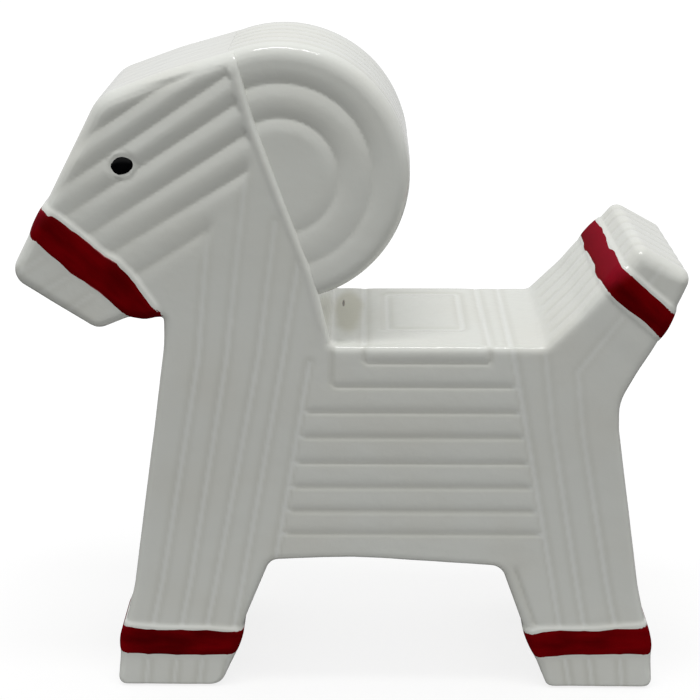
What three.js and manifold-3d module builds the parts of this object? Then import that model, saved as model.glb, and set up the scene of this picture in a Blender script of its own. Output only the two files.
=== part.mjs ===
// A goat figurine in glazed ceramic that imitates a goat tied from straw: hollow sections luted edge to
// edge, raised collars with red glaze, and black eyes. Millimetres, +Z up, the nose towards -X, the left
// side towards -Y and the feet on Z = 0.
import * as THREE from 'three';
import { mergeVertices } from 'three/addons/utils/BufferGeometryUtils.js';
import Module from 'manifold-3d';

const wasm = await Module();
wasm.setup();
const { Manifold, Mesh } = wasm;

// Main sizes
const THICKNESS = 54.6; // from side to side
const LEG_LENGTH = 44; // floor to belly
const TRUNK_DEPTH = 68; // belly to back
const TRUNK_LENGTH = 56.7; // shoulder line to hip line, along the back
const TRUNK_MIDDLE_X = 17.35;

// Casting
const HEAD_TAPER = 0.0021; // share of the thickness lost for each mm above the back, on neck, head and horn
const WALL = 4.2; // ceramic wall
const EDGE_ROUND = 2.2; // rounding along both side faces
const SEAM = 0.3; // gap at each luted joint
const FIT = 0.3; // gap around each collar and eye
const LEG_GAP = 15; // between the left and the right legs
const LEG_JOINT_RISE = 1.5; // the joints of the legs above the belly
const SHOULDER_LEAN = 0.169; // mm forwards for each mm down
const HIP_LEAN = 0.194; // mm backwards for each mm down
const VENT_RADIUS = 4; // firing vent in the belly
const VENT_X = 10;
const DUCT_RADIUS = 5; // opening between the horn and the neck

// Straw relief
const STRAW_PITCH = 7.8;
const SIDE_STRAWS = 7; // straws across the thickness
const FORE_STRAWS = 5; // straws across a foreleg and the neck
const GROOVE_WIDTH = 1.8;
const GROOVE_DEPTH = 0.7;
const HEAD_SLOPE = THREE.MathUtils.degToRad(32);
const HEAD_LOWEST_STRAW = 44.4; // distance of the lowest head groove from the top of the shoulder line
const STRAP_DROP = 5; // from the back to the first strap across the side
const STRAP_MARGIN = 6.6; // from the saddle to that strap
const SADDLE = { x0: 10.5, x1: 32.5, halfWidth: 16 };

// Horn
const HORN_RADIUS = 36;
const HORN_RECESS = 1.3; // its sides lie this far behind the head's
const HORN_RINGS = [16, 25.4]; // groove radii
const HORN_FACETS = 44;

// Collars
const BAND_WIDTH = 8.3;
const BAND_PROUD = 0.9;
const BAND_SEAT = 0.9;

// Eyes
const EYE_RADIUS = 2.9;
const EYE_SEAT = 1;
const EYE_DOME = 0.5;
const BOSS_RADIUS = 5.4;
const BOSS_HEIGHT = 0.8;

const HALF = THICKNESS / 2;
const BELLY_Z = LEG_LENGTH;
const BACK_Z = BELLY_Z + TRUNK_DEPTH;
const LEG_JOINT_Z = BELLY_Z + LEG_JOINT_RISE;
const SHOULDER_TOP_X = TRUNK_MIDDLE_X - TRUNK_LENGTH / 2;
const HIP_TOP_X = TRUNK_MIDDLE_X + TRUNK_LENGTH / 2;
const FAR = 500; // reach of cutting shapes past the object

const shoulderX = (z) => SHOULDER_TOP_X - SHOULDER_LEAN * (BACK_Z - z);
const hipX = (z) => HIP_TOP_X + HIP_LEAN * (BACK_Z - z);

// Places and outline corners as [x, z, rounding]: head and neck from the top of the shoulder line, rump and
// tail from the top of the hip line, legs from the floor below the same two points

const atShoulder = (x, z, radius = 0) => [SHOULDER_TOP_X + x, BACK_Z + z, radius];
const atHip = (x, z, radius = 0) => [HIP_TOP_X + x, BACK_Z + z, radius];
const atForeFoot = (x, z, radius = 0) => [SHOULDER_TOP_X + x, z, radius];
const atHindFoot = (x, z, radius = 0) => [HIP_TOP_X + x, z, radius];

const CHIN = atShoulder(-60.8, 4, 3);
const NOSE = atShoulder(-85.1, 19.8, 4.5);
const FOREHEAD = atShoulder(-56.8, 70.8, 4);
const CROWN = atShoulder(-39, 77, 60);
const RIDGE_TOP = atShoulder(-20, 82, 3);
const RIDGE = [atShoulder(-15.3, 61.6, 60), atShoulder(-6.6, 42.8, 60), atShoulder(1.2, 16.5, 20)];
const NECK_REAR = atShoulder(5.2, 0, 2);
const THROAT = atShoulder(-42, 8.8, 2);
const JAW = atShoulder(-52, 8, 10);
const MITRE_TOP = atShoulder(-13, 56.8);
const HORN_CENTRE = atShoulder(-8.7, 48.4).slice(0, 2);
const EYE = atShoulder(-51.5, 52.4);
const TAIL_ROOT = atHip(9.3, 0, 3);
const TAIL_BEND = atHip(18.9, 9.9, 25);
const TAIL_TIP = [atHip(34.4, 28.8, 3), atHip(49.8, 20.6, 3.4)];
const TAIL_REAR = [atHip(42.9, 5.3, 30), atHip(35.3, -9.2, 24)];
const RUMP_REAR = atHip(31.3, -17.5, 14);
const HIND_REAR = [
  RUMP_REAR, atHip(31.8, -26, 20),
  atHindFoot(40.6, 35, 40), atHindFoot(45.8, 14, 20), atHindFoot(47.1, 0, 2.8),
];
const HIND_FRONT = [atHindFoot(14.7, 0, 3), atHindFoot(7.1, 19.5, 30)];
const BELLY_REAR = atHindFoot(-0.7, BELLY_Z - 2.6, 5);
const BELLY_MIDDLE = [0, BELLY_Z + 0.4, 150];
const BELLY_FRONT = atForeFoot(-13.3, BELLY_Z - 0.8, 4);
const FORE_REAR = [atForeFoot(-20.9, 24, 40), atForeFoot(-24.7, 10, 20), atForeFoot(-29.2, 0, 3)];
const FORE_FRONT = [
  atForeFoot(-61.2, 0, 2.8), atForeFoot(-59.2, 16, 20), atForeFoot(-54.5, 34, 40),
  atShoulder(-46.5, -28, 120), atShoulder(-42.2, 0, 40),
];

const BODY = [
  CHIN,
  NOSE,
  FOREHEAD,
  CROWN,
  RIDGE_TOP,
  ...RIDGE,
  NECK_REAR,
  TAIL_ROOT,
  TAIL_BEND,
  ...TAIL_TIP,
  ...TAIL_REAR,
  ...HIND_REAR,
  ...HIND_FRONT,
  BELLY_REAR,
  BELLY_MIDDLE,
  BELLY_FRONT,
  ...FORE_REAR,
  ...FORE_FRONT,
  THROAT,
  JAW,
];

// Lines across the side face that the collars follow
const MUZZLE_BAND = [atShoulder(-76.1, 36.2), atShoulder(-47.6, 8.4)];
const TAIL_BAND = [atHip(27.5, 20.2), atHip(43.2, 6.6)];
const LEG_BANDS = {
  foreleg: [atForeFoot(-60, 16), atForeFoot(-23, 14.7)],
  hindleg: [atHindFoot(9.3, 14.3), atHindFoot(45.8, 16)],
};

// Geometry to solid and back

function solid(geometry) {
  geometry.deleteAttribute('normal');
  geometry.deleteAttribute('uv');
  const merged = mergeVertices(geometry, 1e-4);
  const vertProperties = new Float32Array(merged.attributes.position.array);
  const triVerts = new Uint32Array(merged.index.array);
  return new Manifold(new Mesh({ numProp: 3, vertProperties, triVerts }));
}

function geometryOf(manifold) {
  const mesh = manifold.getMesh();
  const geometry = new THREE.BufferGeometry();
  geometry.setAttribute('position', new THREE.BufferAttribute(new Float32Array(mesh.vertProperties), 3));
  geometry.setIndex(new THREE.BufferAttribute(new Uint32Array(mesh.triVerts), 1));
  geometry.computeVertexNormals();
  return geometry;
}

// Outlines in the XZ plane

function offsetCorners(corners, distance) {
  const points = corners.map(([x, z]) => new THREE.Vector2(x, z));
  const side = Math.sign(THREE.ShapeUtils.area(points));
  const count = corners.length;
  return corners.map(([x, z, radius = 0], i) => {
    const before = points[i].clone().sub(points[(i + count - 1) % count]).normalize();
    const after = points[(i + 1) % count].clone().sub(points[i]).normalize();
    const reach = (side * distance) / (1 + before.dot(after));
    const bend = side * before.cross(after);
    const rounding = radius > 0 ? Math.max(radius + Math.sign(bend) * distance, 0.3) : 0;
    return [x + reach * (before.y + after.y), z - reach * (before.x + after.x), rounding];
  });
}

function roundedShape(corners) {
  const points = corners.map(([x, z]) => new THREE.Vector2(x, z));
  const count = corners.length;
  const outline = [];
  corners.forEach(([, , radius = 0], i) => {
    const corner = points[i];
    const back = points[(i + count - 1) % count].clone().sub(corner);
    const ahead = points[(i + 1) % count].clone().sub(corner);
    const turn = Math.PI - back.angleTo(ahead);
    if (radius === 0 || turn < 0.01) {
      outline.push(corner);
      return;
    }
    const room = 0.48 * Math.min(back.length(), ahead.length());
    const reach = Math.min(radius * Math.tan(turn / 2), room);
    const start = corner.clone().addScaledVector(back.normalize(), reach);
    const end = corner.clone().addScaledVector(ahead.normalize(), reach);
    const middle = back.clone().add(ahead).normalize();
    const arm = reach / Math.sin(turn / 2);
    const centre = corner.clone().addScaledVector(middle, arm);
    const from = start.clone().sub(centre).angle();
    const to = end.clone().sub(centre).angle();
    const clockwise = back.cross(ahead) > 0;
    const size = start.distanceTo(centre);
    const arc = new THREE.EllipseCurve(centre.x, centre.y, size, size, from, to, clockwise);
    outline.push(...arc.getPoints(Math.max(2, Math.ceil(turn / 0.4))));
  });
  return new THREE.Shape(outline);
}

/** An outline pushed through from yMin to yMax and rounded along its sides, then grown all round. */
function slab(corners, yMin, yMax, { grow = 0, round = 0 } = {}) {
  const shape = roundedShape(grow === 0 ? corners : offsetCorners(corners, grow));
  const edge = round > 0 ? round + grow : 0;
  const geometry = new THREE.ExtrudeGeometry(shape, {
    depth: yMax - yMin + 2 * grow - 2 * edge,
    curveSegments: 1,
    bevelEnabled: edge > 0,
    bevelThickness: edge,
    bevelSize: edge,
    bevelOffset: -edge,
    bevelSegments: 2,
  });
  geometry.rotateX(Math.PI / 2);
  geometry.translate(0, yMax + grow - edge, 0);
  return solid(geometry);
}

/** A joint region, drawn in by half a seam so that its neighbours keep a whole one. */
function region(corners) {
  return slab(offsetCorners(corners, -SEAM / 2), -FAR, FAR);
}

/** A cylinder whose middle lies on the XZ plane at the given place. */
function cylinder(radius, length, [x, z], axis) {
  const geometry = new THREE.CylinderGeometry(radius, radius, length, 24);
  const upright = new THREE.Vector3(0, 1, 0);
  geometry.applyQuaternion(new THREE.Quaternion().setFromUnitVectors(upright, axis.clone().normalize()));
  geometry.translate(x, 0, z);
  return solid(geometry);
}

// Joint regions

const SHOULDER_BEND = [shoulderX(BACK_Z - STRAP_DROP), BACK_Z - STRAP_DROP];
const SHOULDER_FOOT = [shoulderX(LEG_JOINT_Z), LEG_JOINT_Z];
const HIP_FOOT = [hipX(LEG_JOINT_Z), LEG_JOINT_Z];
const HIP_HEAD = [hipX(BACK_Z + 8), BACK_Z + 8];
const NECK_ROOT = [NECK_REAR[0] + 0.4, BACK_Z + 0.3];
const NECK_ROOF = [NECK_ROOT[0] + 26, BACK_Z + 1];
const CHIN_EXIT = [CHIN[0] - 4, CHIN[1] - 2];
const TAIL_CORNER = [TAIL_ROOT[0] - 3, BACK_Z + 8];
const RUMP_EXIT = [RUMP_REAR[0] + 18, RUMP_REAR[1] - 14];
const FORE_BELLY = [BELLY_FRONT[0] + 0.6, BELLY_Z - 2.5];
const HIND_BELLY = [BELLY_REAR[0] + 0.4, LEG_JOINT_Z];
const HIND_CORNER = [BELLY_REAR[0], BELLY_Z - 4];
const UNDER_BELLY = BELLY_Z - 9;
const LEG_HALFWAY = BELLY_Z / 2;

const REGIONS = {
  head: [
    THROAT, MITRE_TOP, RIDGE[0], RIDGE_TOP, [RIDGE_TOP[0], FAR], [-FAR, FAR], [-FAR, CHIN_EXIT[1] - 24],
    CHIN_EXIT,
  ],
  neck: [
    THROAT, MITRE_TOP, [NECK_ROOF[0], MITRE_TOP[1]], NECK_ROOF, NECK_ROOT, [-FAR, NECK_ROOT[1]], CHIN_EXIT,
  ],
  chest: [[-FAR, NECK_ROOT[1]], NECK_ROOT, SHOULDER_BEND, SHOULDER_FOOT, [-FAR, LEG_JOINT_Z]],
  trunk: [
    SHOULDER_BEND, NECK_ROOT, [NECK_ROOT[0] + 5, BACK_Z + 8], HIP_HEAD, HIP_FOOT, HIND_BELLY, HIND_CORNER,
    [HIND_CORNER[0] - 8, UNDER_BELLY], [BELLY_FRONT[0] + 8, UNDER_BELLY], FORE_BELLY, SHOULDER_FOOT,
  ],
  rump: [HIP_HEAD, TAIL_CORNER, TAIL_ROOT, RUMP_REAR, RUMP_EXIT, [FAR, LEG_JOINT_Z], HIP_FOOT],
  tail: [TAIL_ROOT, TAIL_CORNER, [TAIL_CORNER[0], FAR], [FAR, FAR], RUMP_EXIT, RUMP_REAR],
  foreleg: [
    [-FAR, LEG_JOINT_Z], SHOULDER_FOOT, FORE_BELLY, [BELLY_FRONT[0] + 9, LEG_HALFWAY], [0, -FAR],
    [-FAR, -FAR],
  ],
  hindleg: [
    HIND_BELLY, HIND_CORNER, [HIND_CORNER[0] - 9, LEG_HALFWAY], [0, -FAR], [FAR, -FAR], [FAR, LEG_JOINT_Z],
  ],
  horn: [
    RIDGE_TOP, ...RIDGE, [NECK_REAR[0], BACK_Z + 6], [FAR, BACK_Z + 6], [FAR, FAR], [RIDGE_TOP[0], FAR],
  ],
};

// Straw grooves

/** A cutter with a V at each side of a path, so that the half inside the material leaves a groove. */
function grooveCutter(points, alongSide, steps) {
  const path = new THREE.CatmullRomCurve3(points.map((p) => new THREE.Vector3(...p)), false, 'centripetal');
  const reach = GROOVE_WIDTH / 2;
  const [a, b] = alongSide ? [GROOVE_DEPTH, reach] : [reach, GROOVE_DEPTH];
  const section = new THREE.Shape([[a, 0], [0, b], [-a, 0], [0, -b]].map((p) => new THREE.Vector2(...p)));
  return solid(new THREE.ExtrudeGeometry(section, { steps, extrudePath: path }));
}

/** One groove on the left side face and its mirror on the right, from points [x, z]. */
function sideGrooves(points) {
  const steps = points.length === 2 ? 1 : 2 * (points.length - 1);
  return [-1, 1].map((side) => grooveCutter(points.map(([x, z]) => [x, side * HALF, z]), true, steps));
}

/** The Y of each groove that parts the straws across the thickness. */
function strawLines() {
  const pitch = THICKNESS / SIDE_STRAWS;
  return Array.from({ length: SIDE_STRAWS - 1 }, (_, i) => (i + 1) * pitch - HALF);
}

/** The grooves across a rim, along points [x, z]. */
function rimGrooves(points) {
  return strawLines().map((y) => grooveCutter(points.map(([x, z]) => [x, y, z]), false, points.length - 1));
}

/** The X of an edge at height z, along corners listed by height. */
function edgeX(corners, z) {
  const sorted = [...corners].sort((p, q) => p[1] - q[1]);
  const next = Math.max(1, sorted.findIndex((p) => p[1] >= z));
  const [x0, z0] = sorted[next - 1];
  const [x1, z1] = sorted[next];
  return x0 + ((x1 - x0) * (z - z0)) / (z1 - z0);
}

/** Heights from one level down to another, at most 30 apart. */
function levels(top, bottom) {
  const count = Math.ceil((top - bottom) / 30);
  return Array.from({ length: count + 1 }, (_, i) => top - ((top - bottom) * i) / count);
}

const between = (p, q, share) => [p[0] + share * (q[0] - p[0]), p[1] + share * (q[1] - p[1])];
const foreFrontX = (z) => edgeX([...FORE_FRONT, THROAT], z);
const hindRearX = (z) => edgeX(HIND_REAR, z);
const foreLine = (share) => levels(THROAT[1] - 3, 1.5).map((z) => (
  [THREE.MathUtils.lerp(foreFrontX(z), shoulderX(z), share), z]
));

/** Grooves of the foreleg and neck: a fan between the front edge and the shoulder line. */
function foreGrooves() {
  const tops = [atShoulder(-10, 36), atShoulder(-3.6, 25)];
  return tops.flatMap((top, i) => sideGrooves([top, ...foreLine((i + 3) / FORE_STRAWS)]));
}

/** A head groove at the given number of straws above the lowest, between two places along X. */
function headLine(index, x0, x1) {
  const distance = HEAD_LOWEST_STRAW + index * STRAW_PITCH;
  return [x0, x1].map((x) => atShoulder(x, (distance + x * Math.sin(HEAD_SLOPE)) / Math.cos(HEAD_SLOPE)));
}

/** The two lowest head grooves turn down at the mitre and run on as neck and foreleg grooves. */
function turningGrooves() {
  const spans = [[-69.5, -27.5], [-76, -17.6]];
  return spans.flatMap(([x0, x1], index) => {
    const [first, bend] = headLine(index, x0, x1);
    return [...sideGrooves([first, bend]), ...sideGrooves([bend, ...foreLine((index + 1) / FORE_STRAWS)])];
  });
}

function headGrooves() {
  const spans = [[-81.5, -18], [-74, -20], [-69, -22], [-62, -38]];
  return spans.flatMap(([x0, x1], i) => sideGrooves(headLine(i + 2, x0, x1)));
}

function trunkGrooves() {
  const strap = (x0, x1, z) => [
    [[x0, BACK_Z], [x0, z + 2]],
    [[x0 + 2, z], [x1 - 2, z]],
    [[x1, z + 2], [x1, BACK_Z]],
  ];
  const first = BACK_Z - STRAP_DROP;
  const inner = strap(SADDLE.x0 - STRAP_MARGIN, SADDLE.x1 + STRAP_MARGIN, first);
  const outer = strap(NECK_REAR[0] + 1.5, HIP_TOP_X - 0.5, first - STRAW_PITCH);
  const rows = Math.floor((first - 2 * STRAW_PITCH - BELLY_Z - 4) / STRAW_PITCH) + 1;
  const straight = Array.from({ length: rows }, (_, i) => {
    const z = first - (i + 2) * STRAW_PITCH;
    return [[shoulderX(z) + 1.5, z], [hipX(z) - 1.5, z]];
  });
  const across = [SADDLE.x0 - STRAP_MARGIN, SADDLE.x1 + STRAP_MARGIN].map((x) => (
    grooveCutter([[x, -HALF, BACK_Z], [x, HALF, BACK_Z]], false, 1)
  ));
  const { x0, x1, halfWidth } = SADDLE;
  const ring = [[x0, -halfWidth], [x1, -halfWidth], [x1, halfWidth], [x0, halfWidth]];
  const panel = ring.map(([x, y], i) => {
    const [nextX, nextY] = ring[(i + 1) % 4];
    return grooveCutter([[x, y, BACK_Z], [nextX, nextY, BACK_Z]], false, 1);
  });
  return [
    ...[...inner, ...outer, ...straight].flatMap((line) => sideGrooves(line)),
    ...across,
    ...panel,
  ];
}

function hindGrooves() {
  const fan = (share) => levels(RUMP_REAR[1] - 8, 1.5).map((z) => (
    [THREE.MathUtils.lerp(hipX(z), hindRearX(z), share), z]
  ));
  const bend = between(TAIL_ROOT, RUMP_REAR, 0.43);
  return [
    ...sideGrooves([[TAIL_ROOT[0], BACK_Z - 2], ...fan(1 / 3)]),
    ...sideGrooves([bend, ...fan(2 / 3)]),
    ...sideGrooves([bend, between(...TAIL_TIP, 0.47)]),
  ];
}

function rimLines() {
  return [
    ...rimGrooves([between(NOSE, FOREHEAD, 0.4), between(NOSE, FOREHEAD, 0.94)]),
    ...rimGrooves([between(FOREHEAD, CROWN, 0.16), between(CROWN, RIDGE_TOP, 0.9)]),
    ...rimGrooves([between(...TAIL_TIP, 0.1), between(...TAIL_TIP, 0.9)]),
    ...rimGrooves([between(CHIN, NOSE, 0.15), between(CHIN, NOSE, 0.85)]),
  ];
}

// Shared bodies

const legSpan = (side) => (side < 0 ? [-HALF, -LEG_GAP / 2] : [LEG_GAP / 2, HALF]);
const sideGrooveSolid = Manifold.union([
  ...foreGrooves(),
  ...turningGrooves(),
  ...headGrooves(),
  ...trunkGrooves(),
  ...hindGrooves(),
  ...rimLines(),
]);
const ridgeDuct = cylinder(DUCT_RADIUS, 8 * WALL, atShoulder(-7.6, 45), new THREE.Vector3(0.93, 0, 0.37));
const ventHole = cylinder(VENT_RADIUS, 4 * WALL, [VENT_X, BELLY_Z], new THREE.Vector3(0, 0, 1));

/** Everything between two heights. */
function layer(bottom, top) {
  return slab([[-FAR, bottom], [FAR, bottom], [FAR, top], [-FAR, top]], -FAR, FAR);
}

function bodyCavity() {
  const room = slab(BODY, -HALF, HALF, { grow: -WALL });
  return room.intersect(layer(LEG_JOINT_Z + WALL, FAR));
}

function legCavity(side) {
  const room = slab(BODY, ...legSpan(side), { grow: -WALL });
  return room.intersect(layer(0, LEG_JOINT_Z + 2 * WALL));
}

const legCavities = [-1, 1].map(legCavity);
const bodyShell = slab(BODY, -HALF, HALF, { round: EDGE_ROUND })
  .subtract(bodyCavity())
  .subtract(Manifold.union(legCavities))
  .subtract(sideGrooveSolid)
  .subtract(ridgeDuct);

/** A piece above the back, with its sides leaning in towards the top. */
function tapered(piece) {
  return piece.warp((vertex) => {
    vertex[1] *= 1 - HEAD_TAPER * (vertex[2] - BACK_Z);
  });
}

const section = (name) => bodyShell.intersect(region(REGIONS[name]));

function legSection(name, index) {
  const span = legSpan(index === 0 ? -1 : 1);
  return slab(BODY, ...span, { round: EDGE_ROUND })
    .subtract(legCavities[index])
    .subtract(sideGrooveSolid)
    .intersect(region(REGIONS[name]));
}

// Collars

/** The strip that a collar covers on the side face, around a line across the limb. */
function stripCorners([from, to], width) {
  const along = new THREE.Vector2(to[0] - from[0], to[1] - from[1]).normalize();
  const across = new THREE.Vector2(-along.y, along.x).multiplyScalar(width / 2);
  const end = (p, s, t) => [p[0] + s * across.x + t * along.x, p[1] + s * across.y + t * along.y];
  return [end(from, -1, -6), end(to, -1, 6), end(to, 1, 6), end(from, 1, -6)];
}

function collar(limb, line, name, span) {
  const [yMin, yMax] = span;
  const reach = region(REGIONS[name]);
  const strip = slab(stripCorners(line, BAND_WIDTH), -FAR, FAR);
  const recess = slab(stripCorners(line, BAND_WIDTH + 2 * FIT), -FAR, FAR);
  const core = slab(BODY, yMin, yMax, { grow: -BAND_SEAT, round: EDGE_ROUND });
  const bore = slab(BODY, yMin, yMax, { grow: FIT - BAND_SEAT, round: EDGE_ROUND });
  const outside = slab(BODY, yMin, yMax, { grow: BAND_PROUD, round: EDGE_ROUND });
  const band = outside.subtract(bore).intersect(strip).intersect(reach);
  return { limb: limb.subtract(recess.subtract(core)), band };
}

// Head details

/** A turned shape on the axis of one eye, from points [radius, height above the side face]. */
function turnedAtEye(side, profile) {
  const geometry = new THREE.LatheGeometry(profile.map((p) => new THREE.Vector2(...p)), 24);
  geometry.rotateX(side < 0 ? Math.PI : 0);
  geometry.translate(EYE[0], side * HALF, EYE[1]);
  return solid(geometry);
}

function eyeSolid(side) {
  const top = BOSS_HEIGHT + EYE_DOME;
  const foot = BOSS_HEIGHT - EYE_SEAT;
  const shoulder = [0.7 * EYE_RADIUS, top - 0.3 * EYE_DOME];
  return turnedAtEye(side, [[0, foot], [EYE_RADIUS, foot], [EYE_RADIUS, BOSS_HEIGHT], shoulder, [0, top]]);
}

function eyeSeat(side) {
  const foot = BOSS_HEIGHT - EYE_SEAT - FIT;
  const radius = EYE_RADIUS + FIT;
  return turnedAtEye(side, [[0, foot], [radius, foot], [radius, WALL], [0, WALL]]);
}

function eyeBoss(side) {
  const rim = (BOSS_RADIUS + EYE_RADIUS + FIT) / 2;
  const root = -WALL / 2;
  const flank = [[BOSS_RADIUS, root], [BOSS_RADIUS, 0], [rim, BOSS_HEIGHT]];
  return turnedAtEye(side, [[0, root], ...flank, [0, BOSS_HEIGHT]]);
}

function headSolid() {
  const bosses = Manifold.union([-1, 1].map(eyeBoss));
  const seats = Manifold.union([-1, 1].map(eyeSeat));
  return section('head').add(bosses).subtract(seats);
}

// Horn

function disc(radius, halfThickness, round) {
  const circle = new THREE.EllipseCurve(...HORN_CENTRE, radius, radius).getPoints(HORN_FACETS).slice(0, -1);
  return slab(circle.map((p) => [p.x, p.y]), -halfThickness, halfThickness, { round });
}

/** A ring around the horn's axis that leaves a V groove where it meets the horn. */
function ringCutter(radius, y, reachOut, reachAlong) {
  const profile = [
    [radius - reachOut, y], [radius, y - reachAlong], [radius + reachOut, y], [radius, y + reachAlong],
    [radius - reachOut, y],
  ];
  const geometry = new THREE.LatheGeometry(profile.map((p) => new THREE.Vector2(...p)), HORN_FACETS);
  geometry.translate(HORN_CENTRE[0], 0, HORN_CENTRE[1]);
  return solid(geometry);
}

function hornGrooves(halfThickness) {
  const reach = GROOVE_WIDTH / 2;
  const faces = HORN_RINGS.flatMap((radius) => [-1, 1].map((side) => (
    ringCutter(radius, side * halfThickness, reach, GROOVE_DEPTH)
  )));
  const rim = strawLines().map((y) => ringCutter(HORN_RADIUS, y, GROOVE_DEPTH, reach));
  return Manifold.union([...faces, ...rim]);
}

function hornSolid() {
  const half = HALF - HORN_RECESS;
  const neighbour = slab(BODY, -HALF, HALF, { grow: SEAM });
  const wallInside = slab(BODY, -HALF, HALF, { grow: SEAM + WALL });
  const cavity = disc(HORN_RADIUS - WALL, half - WALL, 0).subtract(wallInside);
  return disc(HORN_RADIUS, half, EDGE_ROUND)
    .intersect(slab(REGIONS.horn, -FAR, FAR))
    .subtract(neighbour)
    .subtract(cavity)
    .subtract(ridgeDuct)
    .subtract(hornGrooves(half));
}

// Assembly

const WHITE = { color: 0xe9eae6, roughness: 0.15, metalness: 0 };
const RED = { color: 0x8a0d12, roughness: 0.15, metalness: 0 };
const BLACK = { color: 0x060606, roughness: 0.15, metalness: 0 };
const goat = new THREE.Group();

function add(name, manifold, finish) {
  const mesh = new THREE.Mesh(geometryOf(manifold), new THREE.MeshStandardMaterial(finish));
  mesh.name = name;
  goat.add(mesh);
}

const full = [-HALF, HALF];
const muzzle = collar(headSolid(), MUZZLE_BAND, 'head', full);
const tail = collar(section('tail'), TAIL_BAND, 'tail', full);
add('head_shell', tapered(muzzle.limb), WHITE);
add('muzzle_band', tapered(muzzle.band), RED);
add('neck_shell', tapered(section('neck')), WHITE);
add('chest_shell', section('chest'), WHITE);
add('horn_shell', tapered(hornSolid()), WHITE);
add('trunk_shell', section('trunk').subtract(ventHole), WHITE);
add('rump_shell', section('rump'), WHITE);
add('tail_shell', tail.limb, WHITE);
add('tail_band', tail.band, RED);

['left', 'right'].forEach((sideName, index) => {
  const side = index === 0 ? -1 : 1;
  ['foreleg', 'hindleg'].forEach((name) => {
    const leg = collar(legSection(name, index), LEG_BANDS[name], name, legSpan(side));
    add(`${name}_${sideName}`, leg.limb, WHITE);
    add(`${name}_band_${sideName}`, leg.band, RED);
  });
  add(`eye_${sideName}`, tapered(eyeSolid(side)), BLACK);
});

export default goat;
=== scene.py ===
"""A straw goat figurine in glazed ceramic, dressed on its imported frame.

Shapes are worked out in millimetres in the row frame, with +Z up, the nose towards -X and the left side
towards -Y, and become metres when a mesh is made.
"""

import logging
import math
from collections.abc import Callable, Iterable, Sequence
from dataclasses import dataclass, field
from enum import Enum

import bmesh
import bpy
import numpy as np
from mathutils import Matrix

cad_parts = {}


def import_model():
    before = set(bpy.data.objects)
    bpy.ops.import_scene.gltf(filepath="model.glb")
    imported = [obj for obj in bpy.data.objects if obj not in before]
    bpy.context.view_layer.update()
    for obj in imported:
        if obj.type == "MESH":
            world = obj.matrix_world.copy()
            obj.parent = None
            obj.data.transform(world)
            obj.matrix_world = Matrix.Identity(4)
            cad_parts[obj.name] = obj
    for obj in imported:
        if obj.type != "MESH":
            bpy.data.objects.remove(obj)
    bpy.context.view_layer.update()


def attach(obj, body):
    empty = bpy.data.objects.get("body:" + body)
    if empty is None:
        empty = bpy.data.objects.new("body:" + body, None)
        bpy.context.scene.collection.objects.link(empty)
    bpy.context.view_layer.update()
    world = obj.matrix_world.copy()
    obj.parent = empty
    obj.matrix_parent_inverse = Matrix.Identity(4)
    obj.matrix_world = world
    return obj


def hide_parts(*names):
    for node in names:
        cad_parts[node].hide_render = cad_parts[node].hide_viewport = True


LOG = logging.getLogger("goat")
MM = 0.001

Array = np.ndarray
Corner = tuple[float, float, float]
Place = tuple[float, float]
Colour = tuple[float, float, float, float]
Field = Callable[[Array, Array, Array], Array]


class Side(Enum):
    """The two sides of the goat, as signs of Y."""

    LEFT = -1
    RIGHT = 1


@dataclass(frozen=True)
class Casting:
    """Main sizes of the casting, in millimetres."""

    thickness: float = 54.6
    back: float = 112.0
    shoulder_bend: float = 107.0
    head_taper: float = 0.0021
    slot_round: float = 2.2
    leg_gap: float = 15.0
    horn_centre: Place = (-19.7, 160.4)
    horn_radius: float = 36.0
    horn_rings: tuple[float, float] = (16.0, 25.4)
    tight_round: float = 1.3
    horn_round: float = 4.6
    crown_round: float = 5.0
    vent: Corner = (10.0, 4.0, 49.0)
    eye: Place = (-62.7, 163.6)
    dish_radius: float = 4.7
    dish_depth: float = 0.6
    bead_height: float = 0.32
    straws_across: int = 7

    @property
    def half(self) -> float:
        """Half the thickness."""
        return self.thickness / 2

    @property
    def neck_seam(self) -> float:
        """Height of the seam between neck and chest, just above the back."""
        return self.back + 0.3

    def narrowing(self, z: Array) -> Array:
        """Share of the thickness that is left at a height, as neck, head and horn lean in.

        Args:
            z: Heights.

        Returns:
            Shares, 1 well below the back.
        """
        over = z - self.back
        soft = np.clip(over + 30, 0, 60) ** 2 / 120
        return 1 - self.head_taper * np.where(over > 30, over, soft)

    def edge_round(self, x: Array, z: Array) -> Array:
        """Rounding of the long edges: broad on head and tail, tight at the soles and along the ridge.

        Args:
            x: X of the places.
            z: Z of the places.

        Returns:
            Radii.
        """
        broad = self.tight_round + blend_step(z, 2, 8) + 0.9 * blend_step(z, 116, 134)
        broad = broad + 1.8 * blend_step(z, 150, 176) * (x < 0) + 1.2 * blend_step(z, 126, 136) * (x > 60)
        ridge = ridge_x(z)
        beside = blend_step(x, ridge - 9, ridge - 4) * blend_step(z, 114, 124) * (x < 20)
        return broad + (self.tight_round - broad) * beside

    def horn_half(self, z: Array) -> Array:
        """Half the thickness of the horn, whose faces lie further behind the head's towards its top.

        Args:
            z: Heights.

        Returns:
            Half thicknesses.
        """
        return (self.half - np.interp(z, [124, 140, 165, 190], [0.35, 0.6, 1.3, 1.6])) * self.narrowing(z)

    def shoulder_x(self, z: Array | float) -> Array | float:
        """X of the shoulder line at a height."""
        return -11 - 0.169 * (self.back - z)

    def hip_x(self, z: Array | float) -> Array | float:
        """X of the hip line at a height."""
        return 45.7 + 0.194 * (self.back - z)

    def straw_lines(self) -> Array:
        """Y of each groove that parts the straws across the thickness."""
        pitch = self.thickness / self.straws_across
        return (np.arange(1, self.straws_across) * pitch) - self.half


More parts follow.
